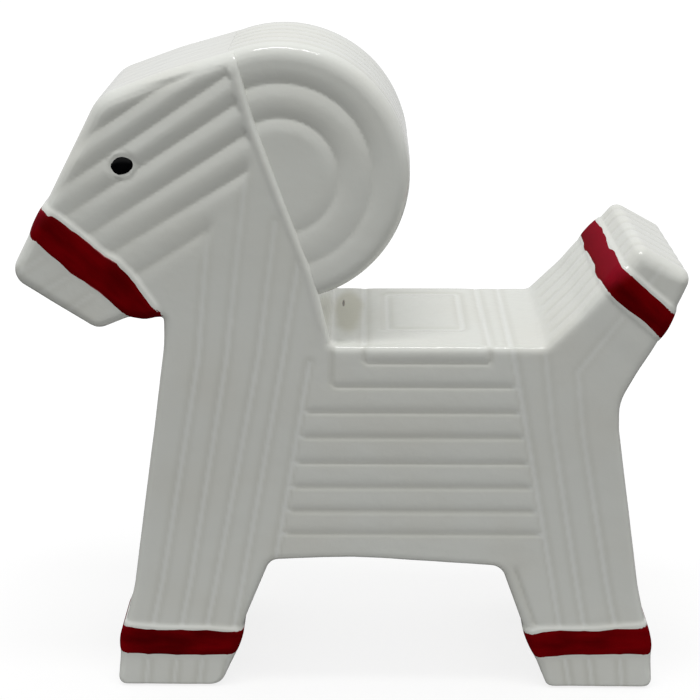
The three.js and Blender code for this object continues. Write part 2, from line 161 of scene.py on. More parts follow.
# Outline corners as (x, z, rounding), and places as (x, z)
CHIN: Corner = (-71.7, 117.0, 4.2)
NOSE: Corner = (-95.3, 132.0, 4.5)
FOREHEAD: Corner = (-69.0, 181.8, 11)
CROWN: Corner = (-50, 188.7, 60)
RIDGE_TOP: Corner = (-31.4, 194, 1.2)
RIDGE: list[Corner] = [(-26.4, 175.5, 60), (-19.5, 156.4, 60), (-10.6, 132.7, 40)]
NECK_REAR: Corner = (-5.8, 112, 2)
TAIL_ROOT: Corner = (55, 112, 3)
TAIL_BEND: Corner = (64.6, 121.9, 25)
TAIL_TIP: list[Corner] = [(80, 141.2, 3), (95.5, 132.6, 3.4)]
TAIL_REAR: list[Corner] = [(88.6, 117.3, 30), (81, 102.8, 24)]
RUMP_REAR: Corner = (77, 94.5, 14)
HIND_REAR: list[Corner] = [(77.5, 86, 20), (86.3, 35, 40), (91.3, 14, 20), (92.2, 0, 2.4)]
HIND_FRONT: list[Corner] = [(61, 0, 2.6), (52.9, 19.5, 30), (45, 41.4, 5)]
BELLY_MIDDLE: Corner = (0, 44.4, 150)
FORE_REAR: list[Corner] = [(-24.3, 43.2, 4), (-31.9, 24, 40), (-36.1, 10, 20), (-40.8, 0, 5.5)]
FORE_FRONT: list[Corner] = [
    (-71.6, 0, 2.4), (-70.1, 16, 20), (-65.5, 34, 40), (-57.5, 84, 120), (-53.2, 112, 40),
]
THROAT: Corner = (-53, 121.2, 2)
JAW: list[Corner] = [(-58.4, 120.2, 4), (-62.8, 120.6, 3)]
MITRE_TOP: Place = (-24, 168.8)
BODY_OUTLINE: list[Corner] = [
    CHIN, NOSE, FOREHEAD, CROWN, RIDGE_TOP, *RIDGE, NECK_REAR, TAIL_ROOT, TAIL_BEND, *TAIL_TIP, *TAIL_REAR,
    RUMP_REAR, *HIND_REAR, *HIND_FRONT, BELLY_MIDDLE, *FORE_REAR, *FORE_FRONT, THROAT, *JAW,
]

# Seams where the legs leave the body, falling towards the belly, where the tail leaves the rump, and the
# rear end of the seam under the neck
LEG_JOINT = 45.5
FORE_SEAM: list[Place] = [(-90, LEG_JOINT), (-34, LEG_JOINT), (-20, 39.9)]
HIND_SEAM: list[Place] = [(42, 37.7), (56, LEG_JOINT), (110, LEG_JOINT)]
TAIL_SEAM: tuple[Place, Place] = ((52, 114.3), (80, 92.1))
NECK_SEAM_REAR = -5.4

# A distance that never counts, and how far the rim of a glaze lies in the clay
FAR_OFF = 50.0
RIM_SINK = 0.03


def read_line(value: Array, places: Sequence[Place]) -> Array:
    """Read a line of straight stretches.

    Args:
        value: First coordinates.
        places: Places along it, with rising first coordinates.

    Returns:
        Second coordinates.
    """
    first, second = zip(*places)
    return np.interp(value, first, second)


def ridge_x(z: Array) -> Array:
    """X of the ridge from the head's top down to the back.

    Args:
        z: Heights.

    Returns:
        Places.
    """
    return read_line(z, [(height, x) for x, height, _ in (NECK_REAR, *reversed(RIDGE), RIDGE_TOP)])


def blend_step(value: Array, low: Array | float, high: Array | float) -> Array:
    """A smooth step from 0 to 1.

    Args:
        value: Where to read it.
        low: Value that gives 0.
        high: Value that gives 1.

    Returns:
        The steps.
    """
    share = np.clip((value - low) / (high - low), 0, 1)
    return share * share * (3 - 2 * share)


def rounded_meet(a: Array, b: Array, radius: Array | float) -> Array:
    """The overlap of two forms, with the edge between them rounded.

    Args:
        a: Signed distance to the first form.
        b: Signed distance to the second form.
        radius: Rounding of the edge.

    Returns:
        Signed distance to the overlap.
    """
    inner = np.minimum(np.maximum(a, b), -radius)
    return inner + np.hypot(np.maximum(a + radius, 0), np.maximum(b + radius, 0))


class Outline:
    """A closed outline in the XZ plane with rounded corners."""

    def __init__(self, corners: Sequence[Corner]) -> None:
        """Round the corners.

        Args:
            corners: Corners in order, as (x, z, rounding).
        """
        self.points: Array = np.array(self._rounded(corners))

    @staticmethod
    def _rounded(corners: Sequence[Corner]) -> list[Array]:
        """Replace each corner by an arc.

        Args:
            corners: Corners in order.

        Returns:
            Points of the outline.
        """
        places = np.array([corner[:2] for corner in corners], float)
        outline: list[Array] = []
        for i, (_, _, radius) in enumerate(corners):
            corner = places[i]
            back = places[i - 1] - corner
            ahead = places[(i + 1) % len(places)] - corner
            room = 0.48 * min(np.linalg.norm(back), np.linalg.norm(ahead))
            back = back / np.linalg.norm(back)
            ahead = ahead / np.linalg.norm(ahead)
            turn = math.pi - math.acos(float(np.clip(back @ ahead, -1, 1)))
            reach = min(radius * math.tan(turn / 2), room)
            middle = (back + ahead) / np.linalg.norm(back + ahead)
            centre = corner + middle * reach / math.sin(turn / 2)
            start = corner + back * reach - centre
            end = corner + ahead * reach - centre
            count = max(3, math.ceil(turn / 0.12))
            for share in np.linspace(0, 1, count):
                arm = (1 - share) * start + share * end
                outline.append(centre + arm / np.linalg.norm(arm) * np.linalg.norm(start))
        return outline

    def distance(self, x: Array, z: Array) -> Array:
        """Signed distance to the outline, negative inside.

        Args:
            x: X of the places.
            z: Z of the places.

        Returns:
            Distances.
        """
        nearest = np.full(x.shape, 1e9)
        inside = np.zeros(x.shape, bool)
        for (ax, az), (bx, bz) in zip(self.points, np.roll(self.points, -1, axis=0)):
            ex, ez = bx - ax, bz - az
            share = np.clip(((x - ax) * ex + (z - az) * ez) / (ex * ex + ez * ez + 1e-12), 0, 1)
            nearest = np.minimum(nearest, (x - ax - share * ex) ** 2 + (z - az - share * ez) ** 2)
            if az != bz:
                crosses = (az > z) != (bz > z)
                inside ^= crosses & (x < ax + (z - az) * ex / ez)
        return np.where(inside, -1, 1) * np.sqrt(nearest)


class DistanceMap:
    def __init__(self, outline: Outline, spacing: float = 0.4, margin: float = 8.0) -> None:
        """Fill the grid.

        Args:
            outline: The outline.
            spacing: Distance between grid points.
            margin: Room around the outline.
        """
        self.spacing = spacing
        self.low: Array = outline.points.min(0) - margin
        count = np.ceil((outline.points.max(0) + margin - self.low) / spacing).astype(int) + 1
        x, z = np.meshgrid(*(self.low[k] + spacing * np.arange(count[k]) for k in range(2)), indexing="ij")
        self.grid: Array = outline.distance(x, z)

    def __call__(self, x: Array, z: Array) -> Array:
        """Look up distances between the grid points.

        Args:
            x: X of the places.
            z: Z of the places.

        Returns:
            Distances.
        """
        limit = np.array(self.grid.shape) - 1.001
        u = np.clip((x - self.low[0]) / self.spacing, 0, limit[0])
        v = np.clip((z - self.low[1]) / self.spacing, 0, limit[1])
        i, j = u.astype(int), v.astype(int)
        a, b = u - i, v - j
        grid = self.grid
        near = grid[i, j] * (1 - b) + grid[i, j + 1] * b
        far = grid[i + 1, j] * (1 - b) + grid[i + 1, j + 1] * b
        return near * (1 - a) + far * a


@dataclass(frozen=True)
class Collar:
    """A raised collar around a limb and the brushed edges of its red glaze.

    The edges are pairs of a share along the line and a distance across it, positive away from the tip.
    """

    name: str
    start: Place
    end: Place
    upper: tuple[Place, ...]
    lower: tuple[Place, ...]
    tip_side: int = 1
    height: float = 0.5
    crown: float = 0.3
    ramp: float = 1.1
    above: float = 0.0
    below: float = 0.0

    @property
    def length(self) -> float:
        """Length of the line across the limb."""
        return math.dist(self.start, self.end)

    @property
    def along(self) -> Array:
        """Direction of the line."""
        return (np.array(self.end) - np.array(self.start)) / self.length

    @property
    def across(self) -> Array:
        """Direction across the line, away from the limb's tip."""
        ux, uz = self.along
        return np.array([-uz, ux]) * self.tip_side

    def local(self, x: Array, z: Array) -> tuple[Array, Array]:
        """Places along and across the line.

        Args:
            x: X of the places.
            z: Z of the places.

        Returns:
            Distances along and across.
        """
        dx, dz = x - self.start[0], z - self.start[1]
        ux, uz = self.along
        vx, vz = self.across
        return dx * ux + dz * uz, dx * vx + dz * vz

    def edge(self, share: Array, upper: bool) -> Array:
        """Distance of a painted edge from the line.

        Args:
            share: Shares along the line.
            upper: Whether it is the edge away from the tip.

        Returns:
            Distances across the line.
        """
        return read_line(share, self.upper if upper else self.lower)

    def _section(self, x: Array, z: Array) -> tuple[Array, Array, Array, Array]:
        """Where places lie in the collar's section.

        Args:
            x: X of the places.
            z: Z of the places.

        Returns:
            Distance across, upper and lower painted edge, and 1 within reach of the limb.
        """
        along, across = self.local(x, z)
        share = along / self.length
        ends = blend_step(along, -9, -7) * blend_step(-along, -self.length - 9, -self.length - 7)
        return across, self.edge(share, True), self.edge(share, False), ends

    def rise(self, x: Array, z: Array) -> Array:
        """How far the collar stands out, with a sloping shoulder above it.

        Args:
            x: X of the places.
            z: Z of the places.

        Returns:
            Heights.
        """
        across, top, bottom, ends = self._section(x, z)
        up = blend_step(-across, -top - 0.2 - self.ramp, -top - 0.2)
        down = blend_step(across, bottom - 1.1, bottom - 0.2)
        middle = (across - (top + bottom) / 2) / ((top - bottom) / 2)
        crown = self.crown * np.maximum(0, 1 - middle * middle)
        above = self.above * (1 - up) * (1 - blend_step(across, top + 4, top + 12))
        return ends * (self.height * up * down + above + self.below * (1 - down) + crown)

    def clear(self, x: Array, z: Array) -> Array:
        """Distance from the foot of the collar's slopes, negative on the collar.

        Args:
            x: X of the places.
            z: Z of the places.

        Returns:
            Distances.
        """
        across, top, bottom, ends = self._section(x, z)
        outside = np.maximum(across - top - 0.8 * self.ramp, bottom - 0.9 - across)
        return np.where(ends > 0, outside, FAR_OFF)


MUZZLE_COLLAR = Collar(
    "muzzle_band", (-87.1, 148.2), (-58.6, 120.4),
    upper=(
        (0.0, 3.9), (0.05, 4.7), (0.1, 5.0), (0.27, 5.7), (0.5, 6.0),
        (0.6, 7.1), (0.72, 6.9), (0.83, 6.1), (1.0, 4.8), (1.15, 2.2),
    ),
    lower=(
        (0.0, -5.1), (0.07, -4.5), (0.2, -4.6), (0.42, -4.4),
        (0.52, -3.7), (0.66, -2.9), (0.8, -3.1), (1.0, -2.9),
    ),
    ramp=1.2, below=0.5,
)
TAIL_COLLAR = Collar(
    "tail_band", (73.2, 132.2), (88.9, 118.6),
    upper=((0.0, 3.9), (0.25, 4.4), (0.5, 4.4), (0.75, 4.2), (1.0, 4.3)),
    lower=((0.0, -3.8), (0.25, -4.2), (0.5, -4.15), (0.75, -4.3), (1.0, -4.3)),
    tip_side=-1, ramp=0.9, above=0.2,
)
FORE_COLLAR = Collar(
    "foreleg_band", (-71, 16), (-34, 14.7),
    upper=((0.0, 4.9), (0.07, 5.3), (0.26, 5.0), (0.46, 4.9), (0.75, 5.1), (1.0, 4.8)),
    lower=((0.0, -4.3), (0.09, -4.6), (0.24, -4.9), (0.6, -4.5), (0.93, -3.7), (1.0, -3.6)),
    below=0.45,
)
HIND_COLLAR = Collar(
    "hindleg_band", (55, 14.3), (91.5, 16),
    upper=((-0.04, 5.4), (0.0, 5.3), (0.1, 6.1), (0.3, 5.8), (0.56, 5.5), (0.74, 6.0), (0.97, 6.1)),
    lower=((0.05, -4.3), (0.17, -3.8), (0.28, -3.2), (0.57, -3.7), (0.8, -4.0), (1.0, -4.3)),
    below=0.45,
)
COLLARS = (MUZZLE_COLLAR, TAIL_COLLAR, FORE_COLLAR, HIND_COLLAR)


def beyond(line: tuple[Place, Place], x: Array, z: Array) -> Array:
    """Signed distance from a line through two places, positive on its left.

    Args:
        line: The two places.
        x: X of the points.
        z: Z of the points.

    Returns:
        Distances.
    """
    (ax, az), (bx, bz) = line
    length = math.hypot(bx - ax, bz - az)
    return ((bx - ax) * (z - az) - (bz - az) * (x - ax)) / length


MITRE: tuple[Place, Place] = (THROAT[:2], MITRE_TOP)


class Clay:
    """The smooth forms under the straw relief, as signed distances."""

    def __init__(self, casting: Casting) -> None:
        """Prepare the outline.

        Args:
            casting: Sizes.
        """
        self.casting = casting
        self.outline = DistanceMap(Outline(BODY_OUTLINE))

    @staticmethod
    def collars(x: Array, z: Array) -> Array:
        """Heights of all collars.

        Args:
            x: X of the places.
            z: Z of the places.

        Returns:
            Heights.
        """
        total = np.zeros(np.broadcast(x, z).shape)
        for collar in COLLARS:
            rise = collar.rise(x, z)
            if collar is MUZZLE_COLLAR:
                rise = rise * blend_step(beyond(MITRE, x, z), -0.5, 1.0)
            total = np.maximum(total, rise)
        return total

    @staticmethod
    def crown(x: Array, z: Array) -> Array:
        """Height over the plane of the head's top.

        Args:
            x: X of the places.
            z: Z of the places.

        Returns:
            Heights.
        """
        along = np.array(RIDGE_TOP[:2]) - CROWN[:2]
        along = along / np.linalg.norm(along)
        return (z - RIDGE_TOP[1]) * along[0] - (x - RIDGE_TOP[0]) * along[1]

    def clear(self, x: Array, z: Array) -> Array:
        """Distance from everything on the side faces that interrupts the straws.

        Args:
            x: X of the places.
            z: Z of the places.

        Returns:
            Distances.
        """
        casting = self.casting
        room = 1.6 * (np.hypot(x - casting.eye[0], z - casting.eye[1]) - 0.75 * casting.dish_radius)
        rim = -2 * self.outline(x, z) - 5.6 + 18 * (x < ridge_x(z) - 7)
        room = np.minimum(room, np.where(x < 0, -self.crown(x, z) - 1.8, FAR_OFF))
        room = np.minimum(room, np.where((x < 0) & (z > 113), rim, FAR_OFF))
        for collar in COLLARS:
            behind = collar is MUZZLE_COLLAR and beyond(MITRE, x, z) < 0
            room = np.minimum(room, np.where(behind, FAR_OFF, collar.clear(x, z)))
        return room

    def swell(self, x: Array, z: Array, inset: Array) -> Array:
        """How far the collars and the bead along the ridge stand out and the spots under the eyes lie in.

        Args:
            x: X of the places.
            z: Z of the places.
            inset: Signed distance to the outline.

        Returns:
            Heights.
        """
        casting = self.casting
        radius = np.hypot(x - casting.eye[0], z - casting.eye[1])
        dish = 1 - blend_step(radius, 0.55 * casting.dish_radius, casting.dish_radius)
        near = (x > ridge_x(z) - 6) * blend_step(z, 113, 119) * blend_step(-z, -190, -182) * (x < 0)
        bead = np.maximum(0, 1 - ((inset + 1.45) / 1.2) ** 2) ** 2 * near
        return self.collars(x, z) - dish * casting.dish_depth + bead * casting.bead_height

    def body(self, x: Array, y: Array, z: Array) -> Array:
        """Everything but the horn.

        Args:
            x: X of the points.
            y: Y of the points.
            z: Z of the points.

        Returns:
            Signed distances.
        """
        casting = self.casting
        side = np.abs(y) - casting.half * casting.narrowing(z)
        inset = self.outline(x, z)
        form = rounded_meet(inset, side, casting.edge_round(x, z))
        form = np.maximum(form, rounded_meet(self.crown(x, z), side, casting.crown_round))
        roof = 1.3 + read_line(x, [*FORE_SEAM, *HIND_SEAM])
        slot = np.maximum(np.abs(y) - casting.leg_gap / 2, z - roof)
        form = rounded_meet(form, -slot, casting.slot_round)
        vent_x, vent_radius, vent_top = casting.vent
        vent = np.maximum(np.hypot(x - vent_x, y) - vent_radius, z - vent_top)
        form = rounded_meet(form, -vent, 0.9)
        return rounded_meet(form - self.swell(x, z, inset), -z, 0.9)

    def horn(self, x: Array, y: Array, z: Array) -> Array:
        """The horn sweep, let a little into the head and neck.

        Args:
            x: X of the points.
            y: Y of the points.
            z: Z of the points.

        Returns:
            Signed distances.
        """
        casting = self.casting
        disc = np.hypot(x - casting.horn_centre[0], z - casting.horn_centre[1]) - casting.horn_radius
        front = ridge_x(z) - 2.6 - x
        side = np.abs(y) - casting.horn_half(z)
        return np.maximum(rounded_meet(disc, side, casting.horn_round), front)


@dataclass
class Skin:
    """A triangle mesh in millimetres with values at its points."""

    points: Array
    faces: Array
    values: dict[str, Array] = field(default_factory=dict)

    def normals(self) -> Array:
        """Smooth normals at the points.

        Returns:
            One direction for each point.
        """
        corners = self.points[self.faces]
        flat = np.cross(corners[:, 1] - corners[:, 0], corners[:, 2] - corners[:, 0])
        total = np.zeros_like(self.points)
        for k in range(3):
            np.add.at(total, self.faces[:, k], flat)
        return total / np.maximum(np.linalg.norm(total, axis=1, keepdims=True), 1e-12)

    def face_outwards(self) -> None:
        """Turn the triangles of a closed skin round where they face inwards."""
        corners = self.points[self.faces]
        if (corners[:, 0] * np.cross(corners[:, 1], corners[:, 2])).sum() < 0:
            self.faces = self.faces[:, ::-1]

    def cut(self, start: Place, end: Place, margin: float = 1.2) -> None:
        """Split the triangles along a line in the side view.

        Args:
            start: First end of the line.
            end: Last end of the line.
            margin: How far the cut runs on past both ends.
        """
        length = math.dist(start, end)
        along = (np.array(end) - np.array(start)) / length
        across = np.array([-along[1], along[0]])
        flat = self.points[:, [0, 2]] - np.array(start)
        t, s = flat @ along, flat @ across
        close = (np.abs(s) < 0.12) & (t > -margin) & (t < length + margin)
        self.points[np.ix_(close, [0, 2])] -= s[close, None] * across
        s[close] = 0
        edges = np.sort(self.faces[:, [[0, 1], [1, 2], [2, 0]]].reshape(-1, 2), axis=1)
        s0, s1 = s[edges[:, 0]], s[edges[:, 1]]
        share = np.where(s0 * s1 < 0, s0 / np.where(s0 == s1, 1, s0 - s1), 0)
        where = t[edges[:, 0]] + share * (t[edges[:, 1]] - t[edges[:, 0]])
        crossed = (s0 * s1 < 0) & (where > -margin) & (where < length + margin)
        pairs, index = np.unique(edges[crossed], axis=0, return_inverse=True)
        part = (s[pairs[:, 0]] / (s[pairs[:, 0]] - s[pairs[:, 1]]))[:, None]
        new = np.full(len(edges), -1)
        new[crossed] = len(self.points) + index.reshape(-1)
        self.points = np.vstack([self.points, self._between(self.points, pairs, part)])
        self.values = {
            key: np.vstack([value, self._between(value, pairs, part)]) for key, value in self.values.items()
        }
        self._split(new.reshape(-1, 3))

    @staticmethod
    def _between(value: Array, pairs: Array, part: Array) -> Array:
        """Values on edges.

        Args:
            value: Values at the points.
            pairs: Ends of the edges.
            part: Share of the way along each edge.

        Returns:
            Values at those places.
        """
        return value[pairs[:, 0]] * (1 - part) + value[pairs[:, 1]] * part

    def _split(self, new: Array) -> None:
        """Replace the triangles that have new points on their edges.

        Args:
            new: Point on each edge of each triangle, or -1.
        """
        count = (new >= 0).sum(1)
        kept = [self.faces[count == 0]]
        for k in range(3):
            a, b, c = (self.faces[:, (k + i) % 3] for i in range(3))
            p, q = new[:, k], new[:, (k + 1) % 3]
            one = (count == 1) & (p >= 0)
            kept += [np.stack(three, 1)[one] for three in ((a, p, c), (p, b, c))]
            two = (count == 2) & (p >= 0) & (q >= 0)
            kept += [np.stack(three, 1)[two] for three in ((p, b, q), (a, p, q), (a, q, c))]
        self.faces = np.vstack(kept)

    def part(self, chosen: Array) -> "Skin":
        """Some of the triangles as a skin of their own.

        Args:
            chosen: Which triangles to take.

        Returns:
            The new skin.
        """
        faces = self.faces[chosen]
        used, index = np.unique(faces, return_inverse=True)
        values = {key: value[used] for key, value in self.values.items()}
        return Skin(self.points[used], index.reshape(-1, 3), values)


class SurfaceNet:
    """Meshes a signed distance on a regular grid."""

    def __init__(self, form: Field, low: Sequence[float], high: Sequence[float], step: float) -> None:
        """Sample the form.

        Args:
            form: Signed distance.
            low: Lowest corner of the grid.
            high: Highest corner of the grid.
            step: Grid spacing.
        """
        self.form = form
        self.step = step
        self.axes = [np.arange(a, b, step) for a, b in zip(low, high)]
        x, y, z = np.ix_(*self.axes)
        self.samples: Array = form(x, y, z)

    def build(self) -> tuple[Array, Array]:
        """Make one point in each cell that the surface crosses and one quad for each crossed grid edge.

        Returns:
            Points and quads.
        """
        inside = self.samples < 0
        cells = tuple(n - 1 for n in inside.shape)
        corners = [
            np.s_[i:i + cells[0], j:j + cells[1], k:k + cells[2]] for i, j, k in np.ndindex(2, 2, 2)
        ]
        count = sum(inside[c].astype(np.int8) for c in corners)
        mixed = (count > 0) & (count < 8)
        index = np.full(cells, -1)
        index[mixed] = np.arange(mixed.sum())
        points = self._points(mixed)
        for _ in range(3):
            points = settle(self.form, points)
        return points, np.vstack([self._quads(inside, index, axis) for axis in range(3)])

    def _points(self, mixed: Array) -> Array:
        """Mean of the places where the surface crosses the edges of each cell.

        Args:
            mixed: Cells that the surface crosses.

        Returns:
            One point for each such cell.
        """
        cell = np.argwhere(mixed)
        total = np.zeros((len(cell), 3))
        hits = np.zeros((len(cell), 1))
        for axis in range(3):
            others = [k for k in range(3) if k != axis]
            for corner in np.ndindex(2, 2):
                start = np.zeros(3, int)
                start[others] = corner
                end = start.copy()
                end[axis] = 1
                a = self.samples[tuple((cell + start).T)]
                b = self.samples[tuple((cell + end).T)]
                crossed = (a < 0) != (b < 0)
                share = np.where(crossed, a / np.where(crossed, a - b, 1), 0)[:, None]
                total += crossed[:, None] * (start + share * (end - start))
                hits += crossed[:, None]
        low = np.array([axis[0] for axis in self.axes])
        return low + (cell + total / hits) * self.step

    @staticmethod
    def _quads(inside: Array, index: Array, axis: int) -> Array:
        """Quads around the crossed grid edges along one axis.

        Args:
            inside: Which samples lie inside.
            index: Point of each cell.
            axis: The axis.

        Returns:
            Quads that face outwards.
        """
        u, v = (axis + 1) % 3, (axis + 2) % 3
        a = np.take(inside, range(inside.shape[axis] - 1), axis)
        b = np.take(inside, range(1, inside.shape[axis]), axis)
        spot = np.argwhere(a != b)
        spot = spot[(spot[:, u] > 0) & (spot[:, v] > 0)]
        spot = spot[(spot[:, u] < index.shape[u]) & (spot[:, v] < index.shape[v])]
        ring = []
        for du, dv in ((1, 1), (0, 1), (0, 0), (1, 0)):
            cell = spot.copy()
            cell[:, u] -= du
            cell[:, v] -= dv
            ring.append(index[tuple(cell.T)])
        quads = np.stack(ring, 1)
        turned = ~a[tuple(spot.T)]
        quads[turned] = quads[turned][:, ::-1]
        return quads


def gradient(form: Field, points: Array) -> Array:
    """Direction in which a signed distance grows.

    Args:
        form: Signed distance.
        points: Where to read it.

    Returns:
        Gradients.
    """
    reach = 0.15
    result = np.zeros_like(points)
    for axis in range(3):
        shift = np.zeros(3)
        shift[axis] = reach
        ahead, behind = points + shift, points - shift
        result[:, axis] = (form(*ahead.T) - form(*behind.T)) / (2 * reach)
    return result


def settle(form: Field, points: Array, level: Array | float = 0.0, lock: Array | None = None) -> Array:
    """Move points one step towards a level of a signed distance.

    Args:
        form: Signed distance.
        points: Points to move.
        level: Distance that they should have.
        lock: A direction in which they may not move.

    Returns:
        The moved points.
    """
    slope = gradient(form, points)
    if lock is not None:
        slope = slope - (slope @ lock)[:, None] * lock
    size = np.maximum((slope * slope).sum(1), 0.05)
    step = ((form(*points.T) - level) / size)[:, None] * slope
    length = np.linalg.norm(step, axis=1, keepdims=True)
    return points - step * np.minimum(1, 1.2 / np.maximum(length, 1e-9))


class StrawLines:
    """The grooves between the straws, as lines on the smooth form."""

    def __init__(self, casting: Casting) -> None:
        """Collect all lines.

        Args:
            casting: Sizes.
        """
        self.casting = casting
        self.body: list[Array] = []
        self.horn: list[Array] = []
        self._head()
        self._fore()
        self._trunk()
        self._saddle()
        self._hind()
        self._rims()
        self._horn()

    def _line(self, places: Sequence[Corner | Place], y: float) -> None:
        """Add a line that leans in with neck and head.

        Args:
            places: Places along it.
            y: Its Y where the thickness is full.
        """
        narrow = self.casting.narrowing
        self.body.append(np.array([(p[0], y * float(narrow(np.array(p[1]))), p[1]) for p in places]))

    def _side(self, places: Sequence[Place]) -> None:
        """Add a line on the left side face and its mirror on the right.

        Args:
            places: Places along it.
        """
        for side in Side:
            self._line(places, side.value * self.casting.half)

    def _rim(self, places: Sequence[Corner | Place], lines: Iterable[float] | None = None) -> None:
        """Add the lines along a rim.

        Args:
            places: Places along the rim.
            lines: Y of the lines, or all of them.
        """
        for y in self.casting.straw_lines() if lines is None else lines:
            self._line(places, y)

    def _fore_line(self, top: float, foot: float) -> list[Place]:
        """A groove between the front edge of the foreleg and the shoulder line.

        Args:
            top: Share of the way from the front at the throat.
            foot: The same at the foot.

        Returns:
            Places from the throat down to the foot.
        """
        front = sorted([(z, x) for x, z, _ in [*FORE_FRONT, THROAT]])
        heights = np.linspace(117.8, 1.0, 14)
        shares = np.interp(heights, [30, 110], [foot, top])
        edge = read_line(heights, front)
        return list(zip(edge + shares * (self.casting.shoulder_x(heights) - edge), heights))

    def _head(self) -> None:
        """Grooves of the head, of which the two lowest behind the muzzle turn down into the neck."""
        grooves = (
            [(-77.5, 167.6), (-45.5, 188.5)],
            [(-84.0, 154.5), (-33.0, 188.5)],
            [(-83.0, 146.8), (-29.0, 182.0)],
            [(-78.0, 140.8), (-25.5, 174.4)],
            [(-70.0, 137.1), (-28.7, 162.1), *self._fore_line(0.436, 0.405)],
            [(-62.0, 131.7), (-39.6, 145.8), *self._fore_line(0.246, 0.2)],
            [(-84.5, 138.8), (-94.0, 132.7)],
            [(-78.0, 133.0), (-88.0, 126.9)],
            [(-71.0, 128.2), (-80.0, 122.2)],
        )
        for groove in grooves:
            self._side(groove)

    def _fore(self) -> None:
        """The other grooves of neck and foreleg, and the shoulder line."""
        for shares, top in (((0.65, 0.59), (-21, 148)), ((0.816, 0.785), (-14.6, 137))):
            self._side([top, *self._fore_line(*shares)])
        heights = (self.casting.shoulder_bend, 80, 50, 40, 20, 1)
        self._side([(self.casting.shoulder_x(z), z) for z in heights])

    def _trunk(self) -> None:
        """Two straps that turn up to the back, and the rows below them."""
        casting = self.casting
        back = casting.back
        for x0, x1, x2, z in ((3.7, 39.4, 39.6, 106.9), (-5.4, 45.2, 47.8, 99.7)):
            down = [(x0, back), (x0 - 0.2, z + 0.8), (x0 + 0.6, z)]
            self._side([*down, (x2 - 0.8, z), (x2, z + 0.8), (x1, back)])
        for z in (91.8, 84.0, 75.7, 68.0, 60.2, 52.7):
            self._side([(casting.shoulder_x(z) + 1.2, z), (casting.hip_x(z) - 1.2, z)])

    def _saddle(self) -> None:
        """The straps and the panel on the back."""
        casting = self.casting
        for left, right in ((3.7, 3.7), (39.4, 38.6), (45.2, 45.6)):
            strap = [(left, -casting.half, casting.back), (right, casting.half, casting.back)]
            self.body.append(np.array(strap))
        ring = [
            (11.3, -12.0), (31.7, -12.0), (32.5, -11.2), (32.5, 18.9), (31.7, 19.7),
            (11.3, 19.7), (10.5, 18.9), (10.5, -11.2), (11.3, -12.0),
        ]
        self.body.append(np.array([(x, y, casting.back) for x, y in ring]))

    def _hind(self) -> None:
        """The hip line and the grooves of rump, hind leg and tail."""
        casting = self.casting
        rear = sorted([(z, x) for x, z, _ in [RUMP_REAR, *HIND_REAR]])
        heights = np.linspace(86.5, 1.0, 10)
        edge = read_line(heights, rear)
        hip = casting.hip_x(heights)
        self._side([(casting.hip_x(z), z) for z in (112, 90, 60, 30, 1)])
        bend = (64.5, 104.5)
        for top, shares in (((TAIL_ROOT[0], 110), (0.283, 0.283)), (bend, (0.645, 0.60))):
            share = np.interp(heights, [20, 86], shares)
            self._side([top, *zip(hip + share * (edge - hip), heights)])
        self._side([bend, (87.3, 136.9)])
        self._side([(49.3, 40.2), (55.5, 22.3)])

    def _rims(self) -> None:
        """Grooves along the rims that face up, forwards and backwards."""
        self._rim([(-93.5, 136.5), (-70.5, 177.9), (-66.5, 182.9), CROWN, (-32.6, 193.6)])
        self._rim([(-73.8, 117.3), (-93.6, 130.2)])
        self._rim([(57.5, 114.6), TAIL_BEND, (78.6, 139.0), (80.3, 140.2), (81.8, 139.9), (93.7, 133.6)])
        self._rim([(94.6, 130.6), *TAIL_REAR, RUMP_REAR, (77.5, 86), (86.3, 40)])
        self._rim([(-53.2, 117.5), (-53.2, 112), (-57.5, 84), (-64.4, 40)])
        outer = [y for y in self.casting.straw_lines() if abs(y) > self.casting.leg_gap / 2]
        self._rim([(86.3, 40), (86.3, 35), (91.5, 14), (92.6, 2)], outer)
        self._rim([(-64.4, 40), (-65.5, 34), (-70.2, 16), (-71.9, 2)], outer)

    def _horn(self) -> None:
        """Rings on both faces of the horn and grooves along its rim."""
        casting = self.casting
        cx, cz = casting.horn_centre
        angles = np.radians(np.arange(-100, 131, 3.0))
        for radius in casting.horn_rings:
            x, z = cx + radius * np.cos(angles), cz + radius * np.sin(angles)
            y = casting.horn_half(z)
            self.horn += [np.stack([x, side.value * y, z], 1) for side in Side]
        x, z = cx + casting.horn_radius * np.cos(angles), cz + casting.horn_radius * np.sin(angles)
        for line in casting.straw_lines():
            self.horn.append(np.stack([x, line * casting.narrowing(z), z], 1))


class LineSnap:
    """Moves the points of a mesh onto nearby groove lines, so that each groove keeps a clean bottom."""

    def __init__(self, lines: Sequence[Array], step: float) -> None:
        """Split the lines into segments.

        Args:
            lines: Groove lines.
            step: Grid spacing of the mesh.
        """
        self.starts: Array = np.vstack([line[:-1] for line in lines])
        self.arms: Array = np.vstack([np.diff(line, axis=0) for line in lines])
        heading = np.abs(self.arms) / np.linalg.norm(self.arms, axis=1, keepdims=True)
        self.reach: Array = 0.5 * step * np.maximum(heading.max(1), 0.72)

    def __call__(self, points: Array) -> tuple[Array, Array]:
        """Snap points.

        Args:
            points: Points of a mesh.

        Returns:
            The moved points and which of them lie on a line.
        """
        best = np.full(len(points), np.inf)
        target = points.copy()
        for start, arm, reach in zip(self.starts, self.arms, self.reach):
            low = np.minimum(start, start + arm) - reach
            high = np.maximum(start, start + arm) + reach
            near = np.flatnonzero(((points > low) & (points < high)).all(1))
            share = np.clip((points[near] - start) @ arm / (arm @ arm), 0, 1)[:, None]
            foot = start + share * arm
            distance = np.linalg.norm(points[near] - foot, axis=1)
            better = (distance < reach) & (distance < best[near])
            best[near[better]] = distance[better]
            target[near[better]] = foot[better]
        return target, np.isfinite(best)


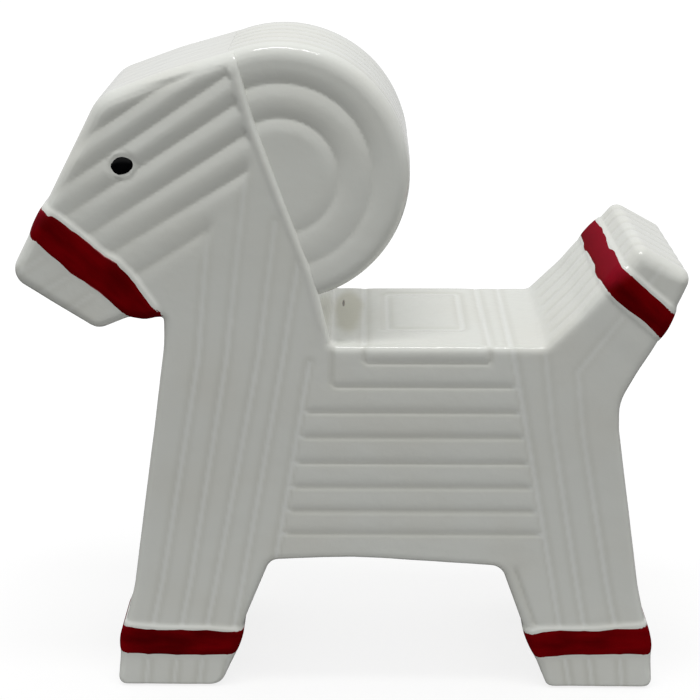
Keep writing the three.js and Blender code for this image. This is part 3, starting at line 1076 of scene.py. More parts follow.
def triangles(quads: Array, creased: Array) -> Array:
    """Split quads so that a diagonal joins two points on a groove line where there are two.

    Args:
        quads: Quads.
        creased: Which points lie on a line.

    Returns:
        Triangles.
    """
    other = creased[quads[:, 1]] & creased[quads[:, 3]]
    a, b, c, d = np.where(other[:, None], np.roll(quads, -1, axis=1), quads).T
    return np.vstack([np.stack([a, b, c], 1), np.stack([a, c, d], 1)])


def ring_faces(rings: int, columns: int, closed: bool) -> Array:
    """Triangles over closed rings of points that lie one after the other.

    Args:
        rings: How many rings there are.
        columns: Points in each.
        closed: Whether the last ring joins the first.

    Returns:
        Triangles.
    """
    index = np.arange(rings * columns).reshape(rings, columns)
    beside = np.roll(index, -1, axis=0)
    quads = np.stack([index, np.roll(index, -1, axis=1), np.roll(beside, -1, axis=1), beside], 2)
    used = quads if closed else quads[:-1]
    return triangles(used.reshape(-1, 4), np.zeros(rings * columns, bool))


class Socket:
    """A node socket with arithmetic, where each expression adds Math nodes."""

    def __init__(self, nodes: "Nodes", socket: bpy.types.NodeSocket) -> None:
        """Wrap a socket.

        Args:
            nodes: The tree it is in.
            socket: The socket.
        """
        self.nodes = nodes
        self.socket = socket

    def _math(self, operation: str, *values: "Socket | float") -> "Socket":
        """Add a Math node.

        Args:
            operation: What it does.
            values: Its inputs.

        Returns:
            Its output.
        """
        return self.nodes.add("ShaderNodeMath", {"operation": operation}, dict(enumerate(values)))

    def __add__(self, other: "Socket | float") -> "Socket":
        """Sum."""
        return self._math("ADD", self, other)

    __radd__ = __add__

    def __sub__(self, other: "Socket | float") -> "Socket":
        """Difference."""
        return self._math("SUBTRACT", self, other)

    def __rsub__(self, other: "Socket | float") -> "Socket":
        """Difference with the terms turned round."""
        return self._math("SUBTRACT", other, self)

    def __mul__(self, other: "Socket | float") -> "Socket":
        """Product."""
        return self._math("MULTIPLY", self, other)

    __rmul__ = __mul__

    def __truediv__(self, other: "Socket | float") -> "Socket":
        """Quotient."""
        return self._math("DIVIDE", self, other)

    def __pow__(self, other: "Socket | float") -> "Socket":
        """Power."""
        return self._math("POWER", self, other)

    def ramp(self, low: float, high: float) -> "Socket":
        """A smooth step from 0 to 1.

        Args:
            low: Value that gives 0.
            high: Value that gives 1.

        Returns:
            The step.
        """
        return self.nodes.add(
            "ShaderNodeMapRange", {"interpolation_type": "SMOOTHSTEP"},
            {"Value": self, "From Min": low, "From Max": high},
        )

    def clamped(self) -> "Socket":
        """The value kept between 0 and 1."""
        return self.nodes.add("ShaderNodeClamp", {}, {"Value": self})

    def below(self, other: "Socket", soft: float) -> "Socket":
        """The smaller of two values, with a soft change from one to the other."""
        return self._math("SMOOTH_MIN", self, other, soft)


class Nodes:
    """Adds nodes to a tree."""

    def __init__(self, tree: bpy.types.NodeTree) -> None:
        """Keep the tree.

        Args:
            tree: The tree.
        """
        self.tree = tree

    def add(
        self,
        kind: str,
        settings: dict[str, object] | None = None,
        inputs: dict[str | int, object] | None = None,
        output: str | int = 0,
    ) -> Socket:
        """Add a node.

        Args:
            kind: Its type.
            settings: Properties, set first.
            inputs: Values or links of its sockets.
            output: Output to return.

        Returns:
            The output.
        """
        node = self.tree.nodes.new(kind)
        for name, value in (settings or {}).items():
            setattr(node, name, value)
        self.feed(node, inputs or {})
        return Socket(self, node.outputs[output])

    def feed(self, node: bpy.types.Node, inputs: dict[str | int, object]) -> None:
        """Set or link the inputs of a node.

        Args:
            node: The node.
            inputs: Values or links of its sockets.
        """
        for name, value in inputs.items():
            target = node.inputs[name]
            if isinstance(value, Socket):
                self.tree.links.new(value.socket, target)
            else:
                target.default_value = value

    def vector(self, operation: str, *values: "Socket | Sequence[float]") -> Socket:
        """Add a Vector Math node.

        Args:
            operation: What it does.
            values: Its inputs.

        Returns:
            Its output, which is a number for a length and else a vector.
        """
        output = "Value" if operation == "LENGTH" else "Vector"
        return self.add("ShaderNodeVectorMath", {"operation": operation}, dict(enumerate(values)), output)

    def axis(self, vector: Socket, name: str) -> Socket:
        """One coordinate of a vector."""
        return self.add("ShaderNodeSeparateXYZ", {}, {0: vector}, name)

    def mix(self, factor: Socket, a: "Socket | Colour", b: "Socket | Colour") -> Socket:
        """Mix two colours.

        Args:
            factor: Share of the second.
            a: First colour.
            b: Second colour.

        Returns:
            The mix.
        """
        return self.add("ShaderNodeMix", {"data_type": "RGBA"}, {0: factor, 6: a, 7: b}, 2)

    def noise(self, where: Socket, scale: float, detail: float = 2.0) -> Socket:
        """A noise value.

        Args:
            where: Coordinates.
            scale: Cells for each unit.
            detail: Finer layers.

        Returns:
            Values from 0 to 1.
        """
        return self.add("ShaderNodeTexNoise", {}, {"Vector": where, "Scale": scale, "Detail": detail})


@dataclass(frozen=True)
class StrawRelief:
    """Geometry Nodes tree that presses the straw grooves into a smooth mesh."""

    rib_depth: float = 1.0
    rib_reach: float = 4.5
    lip_depth: float = 0.42
    lip_reach: float = 1.6
    lean: float = 0.4
    uneven: float = 0.2
    seed: float = 3.0

    def build(self) -> tuple[bpy.types.NodeTree, dict[str, str]]:
        """Make the tree.

        Returns:
            The tree and the identifier of each named input.
        """
        tree = bpy.data.node_groups.new("straw_relief", "GeometryNodeTree")
        face = tree.interface
        face.new_socket("Geometry", in_out="OUTPUT", socket_type="NodeSocketGeometry")
        face.new_socket("Geometry", in_out="INPUT", socket_type="NodeSocketGeometry")
        kinds = {"Lines": "NodeSocketObject", "Glaze": "NodeSocketMaterial"}
        for size in ("Rib Depth", "Rib Reach", "Lip Depth", "Lip Reach", "Lean", "Uneven", "Seed"):
            kinds[size] = "NodeSocketFloat"
        names = {
            name: face.new_socket(name, in_out="INPUT", socket_type=kind).identifier
            for name, kind in kinds.items()
        }
        nodes = Nodes(tree)
        given = tree.nodes.new("NodeGroupInput")

        def put(name: str) -> Socket:
            """A named input of the tree."""
            return Socket(nodes, given.outputs[name])

        lines = nodes.add("GeometryNodeObjectInfo", {}, {"Object": put("Lines")}, "Geometry")
        place = nodes.add("GeometryNodeInputPosition")
        closest = nodes.add("GeometryNodeProximity", {"target_element": "EDGES"}, {0: lines}, "Position")
        apart = nodes.vector("SUBTRACT", place, closest)
        distance = nodes.vector("LENGTH", apart)
        lift = nodes.axis(apart, "Z") / (distance + 1e-6)
        relief, arch, limit, tint = (
            nodes.add(
                "GeometryNodeInputNamedAttribute", {"data_type": "FLOAT"}, {"Name": name}, "Attribute",
            )
            for name in ("relief", "arch", "limit", "tint")
        )
        rib = (1 - distance / put("Rib Reach")).clamped() ** 2 * put("Rib Depth")
        lip = (1 - distance * (1 - lift * put("Lean")) / put("Lip Reach")).clamped() ** 2 * put("Lip Depth")
        depth = ((rib * arch + lip * (1 - arch)) * relief).below(limit, 0.0002)
        shown = (limit / 0.0006).clamped()
        pool = (1 - distance.ramp(0.0002, 0.0008)) * shown * tint.clamped()
        brim = distance.ramp(0.0005, 0.001) * (1 - distance.ramp(0.0013, 0.0028)) * tint.clamped()
        # Where the tint is positive the shoulders beside a groove get darker glaze; where it is negative
        # the crease of each groove is darkened as painted shade.
        crease_shade = (1 - (distance * (1 + 0.3 * lift)).ramp(0.0003, 0.0016)) * (0 - tint).clamped()
        brim = (brim + crease_shade) * shown
        wave = nodes.add(
            "ShaderNodeTexNoise", {"noise_dimensions": "4D"},
            {"Vector": place, "W": put("Seed"), "Scale": 55.0, "Detail": 1.0},
        )
        rise = (wave - 0.5) * put("Uneven") - depth
        normal = nodes.add("GeometryNodeInputNormal")
        offset = nodes.add("ShaderNodeVectorMath", {"operation": "SCALE"}, {0: normal, "Scale": rise})
        stored = put("Geometry")
        for name, value in (("pool", pool), ("brim", brim)):
            stored = nodes.add(
                "GeometryNodeStoreNamedAttribute", {"data_type": "FLOAT", "domain": "POINT"},
                {"Geometry": stored, "Name": name, "Value": value},
            )
        pressed = nodes.add("GeometryNodeSetPosition", {}, {"Geometry": stored, "Offset": offset})
        real = nodes.add("GeometryNodeRealizeInstances", {}, {0: pressed})
        glazed = nodes.add("GeometryNodeSetMaterial", {}, {"Geometry": real, "Material": put("Glaze")})
        result = tree.nodes.new("NodeGroupOutput")
        tree.links.new(glazed.socket, result.inputs[0])
        return tree, names

    def press(self, skin: Skin, lines: Sequence[Array], glaze: bpy.types.Material, name: str) -> Skin:
        """Press grooves into a skin.

        Args:
            skin: Smooth skin with relief, arch, limit and tint values at its points.
            lines: Groove lines.
            glaze: Material that the tree sets.
            name: Name of the piece.

        Returns:
            The skin with grooves, and values for the glaze pooled in them, for the darker glaze beside them
            and for the painted shade in their creases.
        """
        work = bpy.data.objects.new(name + "_smooth", plain_mesh(name + "_smooth", skin))
        guide = bpy.data.objects.new(name + "_lines", line_mesh(name + "_lines", lines))
        for thing in (work, guide):
            bpy.context.scene.collection.objects.link(thing)
        tree, names = self.build()
        modifier = work.modifiers.new("straws", "NODES")
        modifier.node_group = tree
        values = {
            "Lines": guide, "Glaze": glaze, "Lean": self.lean, "Seed": self.seed,
            "Rib Depth": self.rib_depth * MM, "Rib Reach": self.rib_reach * MM,
            "Lip Depth": self.lip_depth * MM, "Lip Reach": self.lip_reach * MM,
            "Uneven": self.uneven * MM,
        }
        for key, value in values.items():
            modifier[names[key]] = value
        bpy.context.view_layer.update()
        evaluated = work.evaluated_get(bpy.context.evaluated_depsgraph_get())
        mesh = bpy.data.meshes.new_from_object(evaluated)
        points = np.empty(len(mesh.vertices) * 3)
        mesh.vertices.foreach_get("co", points)
        pressed = Skin(points.reshape(-1, 3) / MM, skin.faces)
        for key in ("pool", "brim"):
            value = np.empty(len(mesh.vertices))
            mesh.attributes[key].data.foreach_get("value", value)
            pressed.values[key] = value[:, None]
        for thing in (work, guide):
            bpy.data.objects.remove(thing)
        pressed.values["normal"] = pressed.normals()
        return pressed


def plain_mesh(name: str, skin: Skin) -> bpy.types.Mesh:
    """A mesh from a skin, with its single values as attributes.

    Args:
        name: Name of the mesh.
        skin: The skin.

    Returns:
        The mesh, in metres.
    """
    mesh = bpy.data.meshes.new(name)
    mesh.from_pydata((skin.points * MM).tolist(), [], skin.faces.tolist())
    for key, value in skin.values.items():
        if value.shape[1] == 1:
            layer = mesh.attributes.new(key, "FLOAT", "POINT")
            layer.data.foreach_set("value", value[:, 0].astype(np.float32))
    return mesh


def shade_smooth(mesh: bpy.types.Mesh) -> None:
    """Shade all faces of a mesh smooth."""
    mesh.polygons.foreach_set("use_smooth", np.ones(len(mesh.polygons), bool))


def loop_points(mesh: bpy.types.Mesh) -> Array:
    """The points at the corners of a mesh's faces.

    Args:
        mesh: The mesh.

    Returns:
        Numbers of the points, one for each corner.
    """
    loops = np.empty(len(mesh.loops), np.int32)
    mesh.loops.foreach_get("vertex_index", loops)
    return loops


def line_mesh(name: str, lines: Sequence[Array]) -> bpy.types.Mesh:
    """A mesh of edges along lines.

    Args:
        name: Name of the mesh.
        lines: The lines.

    Returns:
        The mesh, in metres.
    """
    mesh = bpy.data.meshes.new(name)
    edges: list[tuple[int, int]] = []
    first = 0
    for line in lines:
        edges += [(first + i, first + i + 1) for i in range(len(line) - 1)]
        first += len(line)
    mesh.from_pydata((np.vstack(lines) * MM).tolist(), edges, [])
    return mesh


def finished(name: str, mesh: bpy.types.Mesh, glaze: bpy.types.Material) -> bpy.types.Object:
    """Make a piece that stands for the CAD node of the same name.

    Args:
        name: Name of the CAD node.
        mesh: Mesh of the piece.
        glaze: Its material.

    Returns:
        The piece.
    """
    mesh.materials.clear()
    mesh.materials.append(glaze)
    piece = bpy.data.objects.new(name + "_glazed", mesh)
    bpy.context.scene.collection.objects.link(piece)
    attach(piece, "root")
    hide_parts(name)
    return piece


def capped_mesh(name: str, skin: Skin) -> bpy.types.Mesh:
    """A closed mesh from a cut skin, with the cuts filled and the smooth normals kept.

    Args:
        name: Name of the mesh.
        skin: A skin with normals.

    Returns:
        The mesh.
    """
    mesh = plain_mesh(name, skin)
    count = len(mesh.polygons)
    work = bmesh.new()
    work.from_mesh(mesh)
    open_edges = [edge for edge in work.edges if edge.is_boundary]
    caps = bmesh.ops.holes_fill(work, edges=open_edges, sides=0)["faces"]
    bmesh.ops.triangulate(work, faces=caps)
    work.to_mesh(mesh)
    work.free()
    shade_smooth(mesh)
    normals = skin.values["normal"][loop_points(mesh)]
    flat = np.empty(len(mesh.polygons) * 3)
    mesh.polygons.foreach_get("normal", flat)
    normals[3 * count:] = np.repeat(flat.reshape(-1, 3)[count:], 3, axis=0)
    mesh.normals_split_custom_set((normals / np.linalg.norm(normals, axis=1, keepdims=True)).tolist())
    return mesh


def new_material(name: str) -> tuple[bpy.types.Material, Nodes, bpy.types.Node]:
    """Make a material.

    Args:
        name: Its name.

    Returns:
        The material, its nodes and its Principled shader.
    """
    material = bpy.data.materials.new(name)
    material.use_nodes = True
    tree = material.node_tree
    return material, Nodes(tree), tree.nodes["Principled BSDF"]


@dataclass(frozen=True)
class WhiteGlaze:
    """White tin glaze over pale clay, pooled in the grooves and wiped off the soles, with painted shade in
    the creases, on the upper side faces and in the corner by the neck.
    """

    colour: Colour = (0.80, 0.815, 0.77, 1)
    thin: Colour = (0.78, 0.785, 0.73, 1)
    brim: Colour = (0.68, 0.685, 0.625, 1)
    pooled: Colour = (0.85, 0.865, 0.83, 1)
    painted_upper_shade: Colour = (0.70, 0.715, 0.665, 1)
    clay: Colour = (0.52, 0.40, 0.29, 1)
    pit: Colour = (0.10, 0.07, 0.03, 1)
    pit_at: tuple[float, float, float] = (-0.0027, 0.0105, 0.112)
    neck_corner_shade: Colour = (0.62, 0.615, 0.51, 1)
    neck_corner_shade_at: tuple[float, float, float] = (-0.0012, 0.004, 0.112)
    roughness: float = 0.09

    def build(self) -> bpy.types.Material:
        """Make the material.

        Returns:
            The material.
        """
        material, nodes, shader = new_material("white_glaze")
        where = nodes.add("ShaderNodeTexCoord", output="Object")
        pool, brim = (
            nodes.add("ShaderNodeAttribute", {"attribute_name": name}, output="Fac")
            for name in ("pool", "brim")
        )
        cloud = nodes.noise(where, 38, 3)
        fine = nodes.noise(where, 420, 2)
        colour = nodes.mix(cloud.ramp(0.35, 0.75), self.colour, self.thin)
        # Mixes in the darker glaze beside the grooves and the painted shade in their creases.
        colour = nodes.mix((brim * (0.35 + cloud * 0.5)).clamped(), colour, self.brim)
        colour = nodes.mix(pool.clamped(), colour, self.pooled)
        height = nodes.axis(where, "Z")
        # Painted shade: upright side faces are darkened from 105 mm up, over neck, head and horn.
        sideways = nodes.axis(nodes.add("ShaderNodeNewGeometry", output="Normal"), "Y")
        upright = (sideways * sideways).ramp(0.5, 0.9)
        colour = nodes.mix(0.45 * upright * height.ramp(0.105, 0.15), colour, self.painted_upper_shade)
        bare = 1 - (height + (fine - 0.5) * 0.0006).ramp(0.0003, 0.0007)
        colour = nodes.mix(bare, colour, self.clay)
        # The first spot is painted shade in the corner where the neck meets the back, the second a real
        # glaze pit.
        spots = (
            (self.neck_corner_shade, self.neck_corner_shade_at, (230, 50, 170), 1.0),
            (self.pit, self.pit_at, (2500, 320, 700), 0.5),
        )
        for spot, middle, scale, rough_edge in spots:
            offset = nodes.vector("SUBTRACT", where, middle)
            reach = nodes.vector("LENGTH", nodes.vector("MULTIPLY", offset, scale))
            colour = nodes.mix(1 - (reach + (cloud - 0.5) * rough_edge).ramp(0.6, 1.2), colour, spot)
        rough = self.roughness + (cloud - 0.5) * 0.06 + bare * 0.6
        waves = nodes.noise(where, 190, 1) * 0.55 + fine * 0.45
        bump = nodes.add("ShaderNodeBump", {}, {"Strength": 0.42, "Distance": 0.0003, "Height": waves})
        nodes.feed(shader, {"Base Color": colour, "Roughness": rough, "Normal": bump, "IOR": 1.5})
        return material


@dataclass(frozen=True)
class RedGlaze:
    """Red glaze laid on with a brush, streaked along the stroke and thin at its edges, with painted light
    on faces that point up.
    """

    deep: Colour = (0.075, 0.0005, 0.0012, 1)
    bright: Colour = (0.225, 0.0008, 0.003, 1)
    painted_top_light: Colour = (0.27, 0.007, 0.019, 1)
    edge: Colour = (0.62, 0.16, 0.18, 1)
    roughness: float = 0.12

    def build(self) -> bpy.types.Material:
        """Make the material.

        Returns:
            The material.
        """
        material, nodes, shader = new_material("red_glaze")
        stroke = nodes.add("ShaderNodeUVMap", {"uv_map": "stroke"})
        streak = nodes.noise(nodes.vector("MULTIPLY", stroke, (0.05, 0.2, 1.0)), 1.0, 3)
        where = nodes.add("ShaderNodeTexCoord", output="Object")
        cloud = nodes.noise(where, 55, 2)
        upward = nodes.axis(nodes.add("ShaderNodeNewGeometry", output="Normal"), "Z").ramp(0.2, 0.8)
        colour = nodes.mix((streak * 0.5 + cloud * 0.5).ramp(0.3, 0.72), self.deep, self.bright)
        # Painted light: faces that point up are mixed towards a lighter red.
        colour = nodes.mix(upward, colour, self.painted_top_light)
        thin = nodes.add("ShaderNodeAttribute", {"attribute_name": "thin"}, output="Fac")
        colour = nodes.mix((thin * (0.5 + cloud)).clamped(), colour, self.edge)
        rough = self.roughness + (streak - 0.5) * 0.08
        bump = nodes.add("ShaderNodeBump", {}, {"Strength": 0.1, "Distance": 0.0002, "Height": streak})
        nodes.feed(shader, {"Base Color": colour, "Roughness": rough, "Normal": bump})
        nodes.feed(shader, {"Specular IOR Level": 0, "Coat Weight": 0.035, "Coat Roughness": 0.06})
        return material


@dataclass(frozen=True)
class BlackGlaze:
    """Black glaze of the eyes."""

    deep: Colour = (0.001, 0.0011, 0.0013, 1)
    bright: Colour = (0.0025, 0.0026, 0.003, 1)

    def build(self) -> bpy.types.Material:
        """Make the material.

        Returns:
            The material.
        """
        material, nodes, shader = new_material("black_glaze")
        where = nodes.add("ShaderNodeTexCoord", output="Object")
        cloud = nodes.noise(where, 600, 2)
        colour = nodes.mix(cloud.ramp(0.3, 0.7), self.deep, self.bright)
        nodes.feed(shader, {"Base Color": colour, "Roughness": 0.1 + cloud * 0.08})
        nodes.feed(shader, {"Specular IOR Level": 0.1, "Coat Weight": 0.1, "Coat Roughness": 0.05})
        return material


@dataclass
class Shells:
    """The white ceramic sections: one glazed skin, cut where the sections are luted."""

    clay: Clay
    glaze: bpy.types.Material
    relief: StrawRelief = StrawRelief()
    step: float = 0.8
    slot: str = "white_glaze"

    def build(self) -> list[bpy.types.Object]:
        """Make all sections.

        Returns:
            The pieces.
        """
        casting = self.clay.casting
        lines = StrawLines(casting)
        body = self._skin(
            "body", self.clay.body, casting.narrowing, self._body_depths, lines.body,
            (-98, -30.9, -2), (98, 31, 198),
        )
        self._cut(body)
        names = self._sections(body.points[body.faces].mean(1))
        pieces = []
        for name in sorted(set(names)):
            mesh = capped_mesh(name, body.part(names == name))
            pieces.append(finished(name, mesh, self.glaze))
        horn = self._skin(
            "horn", self.clay.horn, lambda z: casting.horn_half(z) / casting.half, self._horn_depths,
            lines.horn, (-36, -30.9, 120), (19, 31, 199),
        )
        pieces.append(finished("horn_shell", capped_mesh("horn_shell", horn), self.glaze))
        return pieces

    def _skin(
        self,
        name: str,
        form: Field,
        width: Callable[[Array], Array],
        depths: Callable[[Array], dict[str, Array]],
        lines: list[Array],
        low: Sequence[float],
        high: Sequence[float],
    ) -> Skin:
        """Mesh a form and press its grooves.

        The form is meshed with its leaning side faces set upright, so that the mesh lies evenly on them.

        Args:
            name: Name for messages.
            form: Signed distance.
            width: Share of the full thickness at a height.
            depths: Gives the relief, arch, limit and tint values of points.
            lines: Groove lines.
            low: Lowest corner of the grid.
            high: Highest corner of the grid.

        Returns:
            The finished skin.
        """
        net = SurfaceNet(lambda x, y, z: form(x, y * width(z), z), low, high, self.step)
        points, quads = net.build()
        upright = [np.stack([line[:, 0], line[:, 1] / width(line[:, 2]), line[:, 2]], 1) for line in lines]
        points, creased = LineSnap(upright, self.step)(points)
        points[:, 1] *= width(points[:, 2])
        points = settle(form, points)
        values = {key: value[:, None] for key, value in depths(points).items()}
        skin = Skin(points, triangles(quads, creased), values)
        LOG.info("%s skin: %d points", name, len(points))
        return self.relief.press(skin, lines, self.glaze, name)

    def _body_depths(self, points: Array) -> dict[str, Array]:
        """How deep and how round the straws are: round on the head, deep on head and trunk.

        Args:
            points: Points on the body.

        Returns:
            Shares of the full relief and of the full arch, the depth at which a groove ends, and the tint
            along
            it: 1 where the glaze pools light in it and lies darker beside it, -1 where its crease gets
                painted shade.
        """
        x, y, z = points.T
        casting = self.clay.casting
        half = casting.half * casting.narrowing(z)
        head = blend_step(beyond(MITRE, x, z), -1.5, 1.5)
        side = blend_step(np.abs(y), half - 2.4 - 1.6 * head, half - 0.8 - head)
        tail = blend_step(x, 50, 56) * blend_step(z, 108, 114)
        back = blend_step(z, 110, 111.5) * (1 - blend_step(z, 113, 114)) * (x > -4) * (x < 54)
        behind_hip = x - casting.hip_x(z)
        trunk = blend_step(x - casting.shoulder_x(z), 1, 3) * blend_step(-behind_hip, 1, 3)
        trunk = trunk * blend_step(-z, -113, -111)
        rump = blend_step(behind_hip, 1, 3) * blend_step(z, 60, 90)
        top = blend_step(z, 150, 172)
        snout = head * blend_step(-MUZZLE_COLLAR.local(x, z)[1], 3, 5)
        relief = 0.32 + 0.6 * trunk - 0.14 * rump
        straws = (0.45 + 0.55 * blend_step(z, 138, 170)) * (0.55 + 0.45 * blend_step(x, -82, -58))
        relief = relief + (straws - relief) * head
        rim = 0.26 + 0.12 * top + 0.12 * tail + 0.34 * back
        relief = (rim + (relief - rim) * side) * (1 - 0.6 * snout)
        arch = 0.1 + 0.9 * head
        arch = (0.6 + (arch - 0.6) * side) * (1 - 0.5 * snout)
        tint = 0.75 - 1.95 * trunk - 0.25 * rump + 0.4 * blend_step(-z, -16, -12)
        tint = (tint + (-0.85 - tint) * head) * (1 - snout) + 0.7 * snout
        rim_tint = 1.7 * back - 0.9 - 0.5 * top
        tint = rim_tint + (tint - rim_tint) * side
        limit = np.maximum(0, self.clay.clear(x, z)) * MM
        return {"relief": relief, "arch": arch, "limit": limit, "tint": tint}

    def _horn_depths(self, points: Array) -> dict[str, Array]:
        """How deep and how round the horn's straws are.

        Args:
            points: Points on the horn.

        Returns:
            Shares of the full relief and of the full arch, the depth at which a groove ends, and the tint,
            which paints shade into the creases.
        """
        _, y, z = points.T
        half = self.clay.casting.horn_half(z)
        side = blend_step(np.abs(y), half - 6, half - 2)
        relief = 0.38 + 0.52 * blend_step(z, 138, 180) * side
        limit = np.full(len(points), 10 * MM)
        return {"relief": relief, "arch": 0.6 + 0.4 * side, "limit": limit, "tint": 1.1 * side - 1.5}

    def _cut(self, body: Skin) -> None:
        """Cut the body's skin along all seams.

        Args:
            body: The skin.
        """
        casting = self.clay.casting
        root = (NECK_SEAM_REAR, casting.neck_seam)
        bend, foot = ((casting.shoulder_x(z), z) for z in (casting.shoulder_bend, 38.0))
        lines = [
            [(-54.5, 118.3), *MITRE],
            [(-60, casting.neck_seam), root],
            [root, bend, foot],
            [(casting.hip_x(116), 116.0), (casting.hip_x(41), 41.0)],
            TAIL_SEAM,
            FORE_SEAM,
            HIND_SEAM,
        ]
        for line in lines:
            for start, end in zip(line, line[1:]):
                body.cut(start, end)

    def _sections(self, centres: Array) -> Array:
        """Name the section of each triangle.

        Args:
            centres: Middles of the triangles.

        Returns:
            Names of CAD nodes.
        """
        x, y, z = centres.T
        casting = self.clay.casting
        side = np.where(y < 0, "left", "right")
        fore = (x < 10) & (z < read_line(x, FORE_SEAM))
        hind = (x > 10) & (z < read_line(x, HIND_SEAM))
        above = z > casting.neck_seam
        shoulder = [(height, casting.shoulder_x(height)) for height in (0, casting.shoulder_bend)]
        shoulder.append((casting.neck_seam, NECK_SEAM_REAR))
        head = (x < 0) & (z > 100) & (beyond(MITRE, x, z) > 0) & (above | (x < THROAT[0] - 1))
        names = np.where(x > casting.hip_x(z), "rump_shell", "trunk_shell")
        names = np.where(x < read_line(z, shoulder), "chest_shell", names)
        names = np.where((x > 45) & (beyond(TAIL_SEAM, x, z) > 0), "tail_shell", names)
        names = np.where((x < 10) & above, "neck_shell", names)
        names = np.where(head, "head_shell", names)
        names = np.where(fore, np.char.add("foreleg_", side), names)
        return np.where(hind, np.char.add("hindleg_", side), names)


@dataclass
class GlazeBand:
    """Red glaze around one collar, a thin closed ring that follows the clay."""

    clay: Clay
    collar: Collar
    node: str
    y_low: float
    y_high: float
    phase: float
    build_up: float = 0.14
    room: float = 3.0
    columns: int = 300
    rows: int = 18

    def build(self, glaze: bpy.types.Material) -> bpy.types.Object:
        """Make the ring.

        Args:
            glaze: The red glaze.

        Returns:
            The piece.
        """
        points, stroke, thin = self._rings()
        skin = Skin(points.reshape(-1, 3), ring_faces(*points.shape[:2], closed=True))
        skin.face_outwards()
        skin.values["thin"] = thin.reshape(-1, 1)
        mesh = plain_mesh(self.node, skin)
        shade_smooth(mesh)
        self._unwrap(mesh, stroke.reshape(-1, 2))
        return finished(self.node, mesh, glaze)

    @staticmethod
    def _unwrap(mesh: bpy.types.Mesh, stroke: Array) -> None:
        """Store the place along and across the brush stroke.

        Args:
            mesh: The mesh.
            stroke: Places of its points.
        """
        layer = mesh.uv_layers.new(name="stroke")
        layer.data.foreach_set("uv", stroke[loop_points(mesh)].astype(np.float32).ravel())

    def _loop(self) -> tuple[Array, Array, Array]:
        """A loop that runs clear of the limb: place along the collar's line, Y, and distance walked.

        Returns:
            The three, for each column.
        """
        low_u, high_u = -self.room, self.collar.length + self.room
        low_y, high_y = self.y_low - self.room, self.y_high + self.room
        corners = np.array([
            (low_u, low_y), (high_u, low_y), (high_u, high_y), (low_u, high_y), (low_u, low_y),
        ])
        walked = np.concatenate([[0], np.cumsum(np.linalg.norm(np.diff(corners, axis=0), axis=1))])
        at = np.linspace(0, walked[-1], self.columns, endpoint=False)
        return np.interp(at, walked, corners[:, 0]), np.interp(at, walked, corners[:, 1]), at

    def _wave(self, at: Array, share: Array, upper: bool) -> Array:
        """Unsteady edge of the brush stroke.

        Args:
            at: Distance walked around the limb.
            share: Share of the full shift.
            upper: Whether it is the edge away from the tip.

        Returns:
            Shifts of the edge.
        """
        turn = self.phase + (2.1 if upper else 0.0)
        return (0.16 * np.sin(at / 2.0 + turn) + 0.42 * np.sin(at / 4.1 + 1.7 * turn)) * share

    def _rings(self) -> tuple[Array, Array, Array]:
        """Points of the ring, row by row around its section.

        Returns:
            Points, places along the stroke, and how thin the glaze is.
        """
        u, y, at = self._loop()
        collar = self.collar
        share = np.clip(u / collar.length, 0, 1)
        on_left = self.y_low < -20
        near = blend_step(-y, -self.y_low - 2.9, -self.y_low + 2.0) if on_left else np.zeros_like(y)
        upper, lower = (
            collar.edge(share, edge) + self._wave(at, 1 - 0.85 * near, edge) for edge in (True, False)
        )
        outer = np.sin(np.linspace(-0.5, 0.5, self.rows) * math.pi)
        levels = [(v, self.build_up * (1 - abs(v) ** 7) - RIM_SINK) for v in outer]
        levels += [(v, -0.6) for v in (0.93, 0.45, 0.0, -0.45, -0.93)]
        points, stroke, thin = [], [], []
        lock = np.array([collar.across[0], 0.0, collar.across[1]])
        for v, level in levels:
            across = (upper + lower) / 2 + v * (upper - lower) / 2
            x = collar.start[0] + u * collar.along[0] + across * collar.across[0]
            z = collar.start[1] + u * collar.along[1] + across * collar.across[1]
            ring = np.stack([x, y, z], 1)
            for _ in range(14):
                ring = settle(self.clay.body, ring, level, lock)
            points.append(ring)
            stroke.append(np.stack([at, across], 1))
            thin.append(np.full(len(at), blend_step(np.array(abs(v)), 0.93, 1.0)))
        return np.array(points), np.array(stroke), np.array(thin)


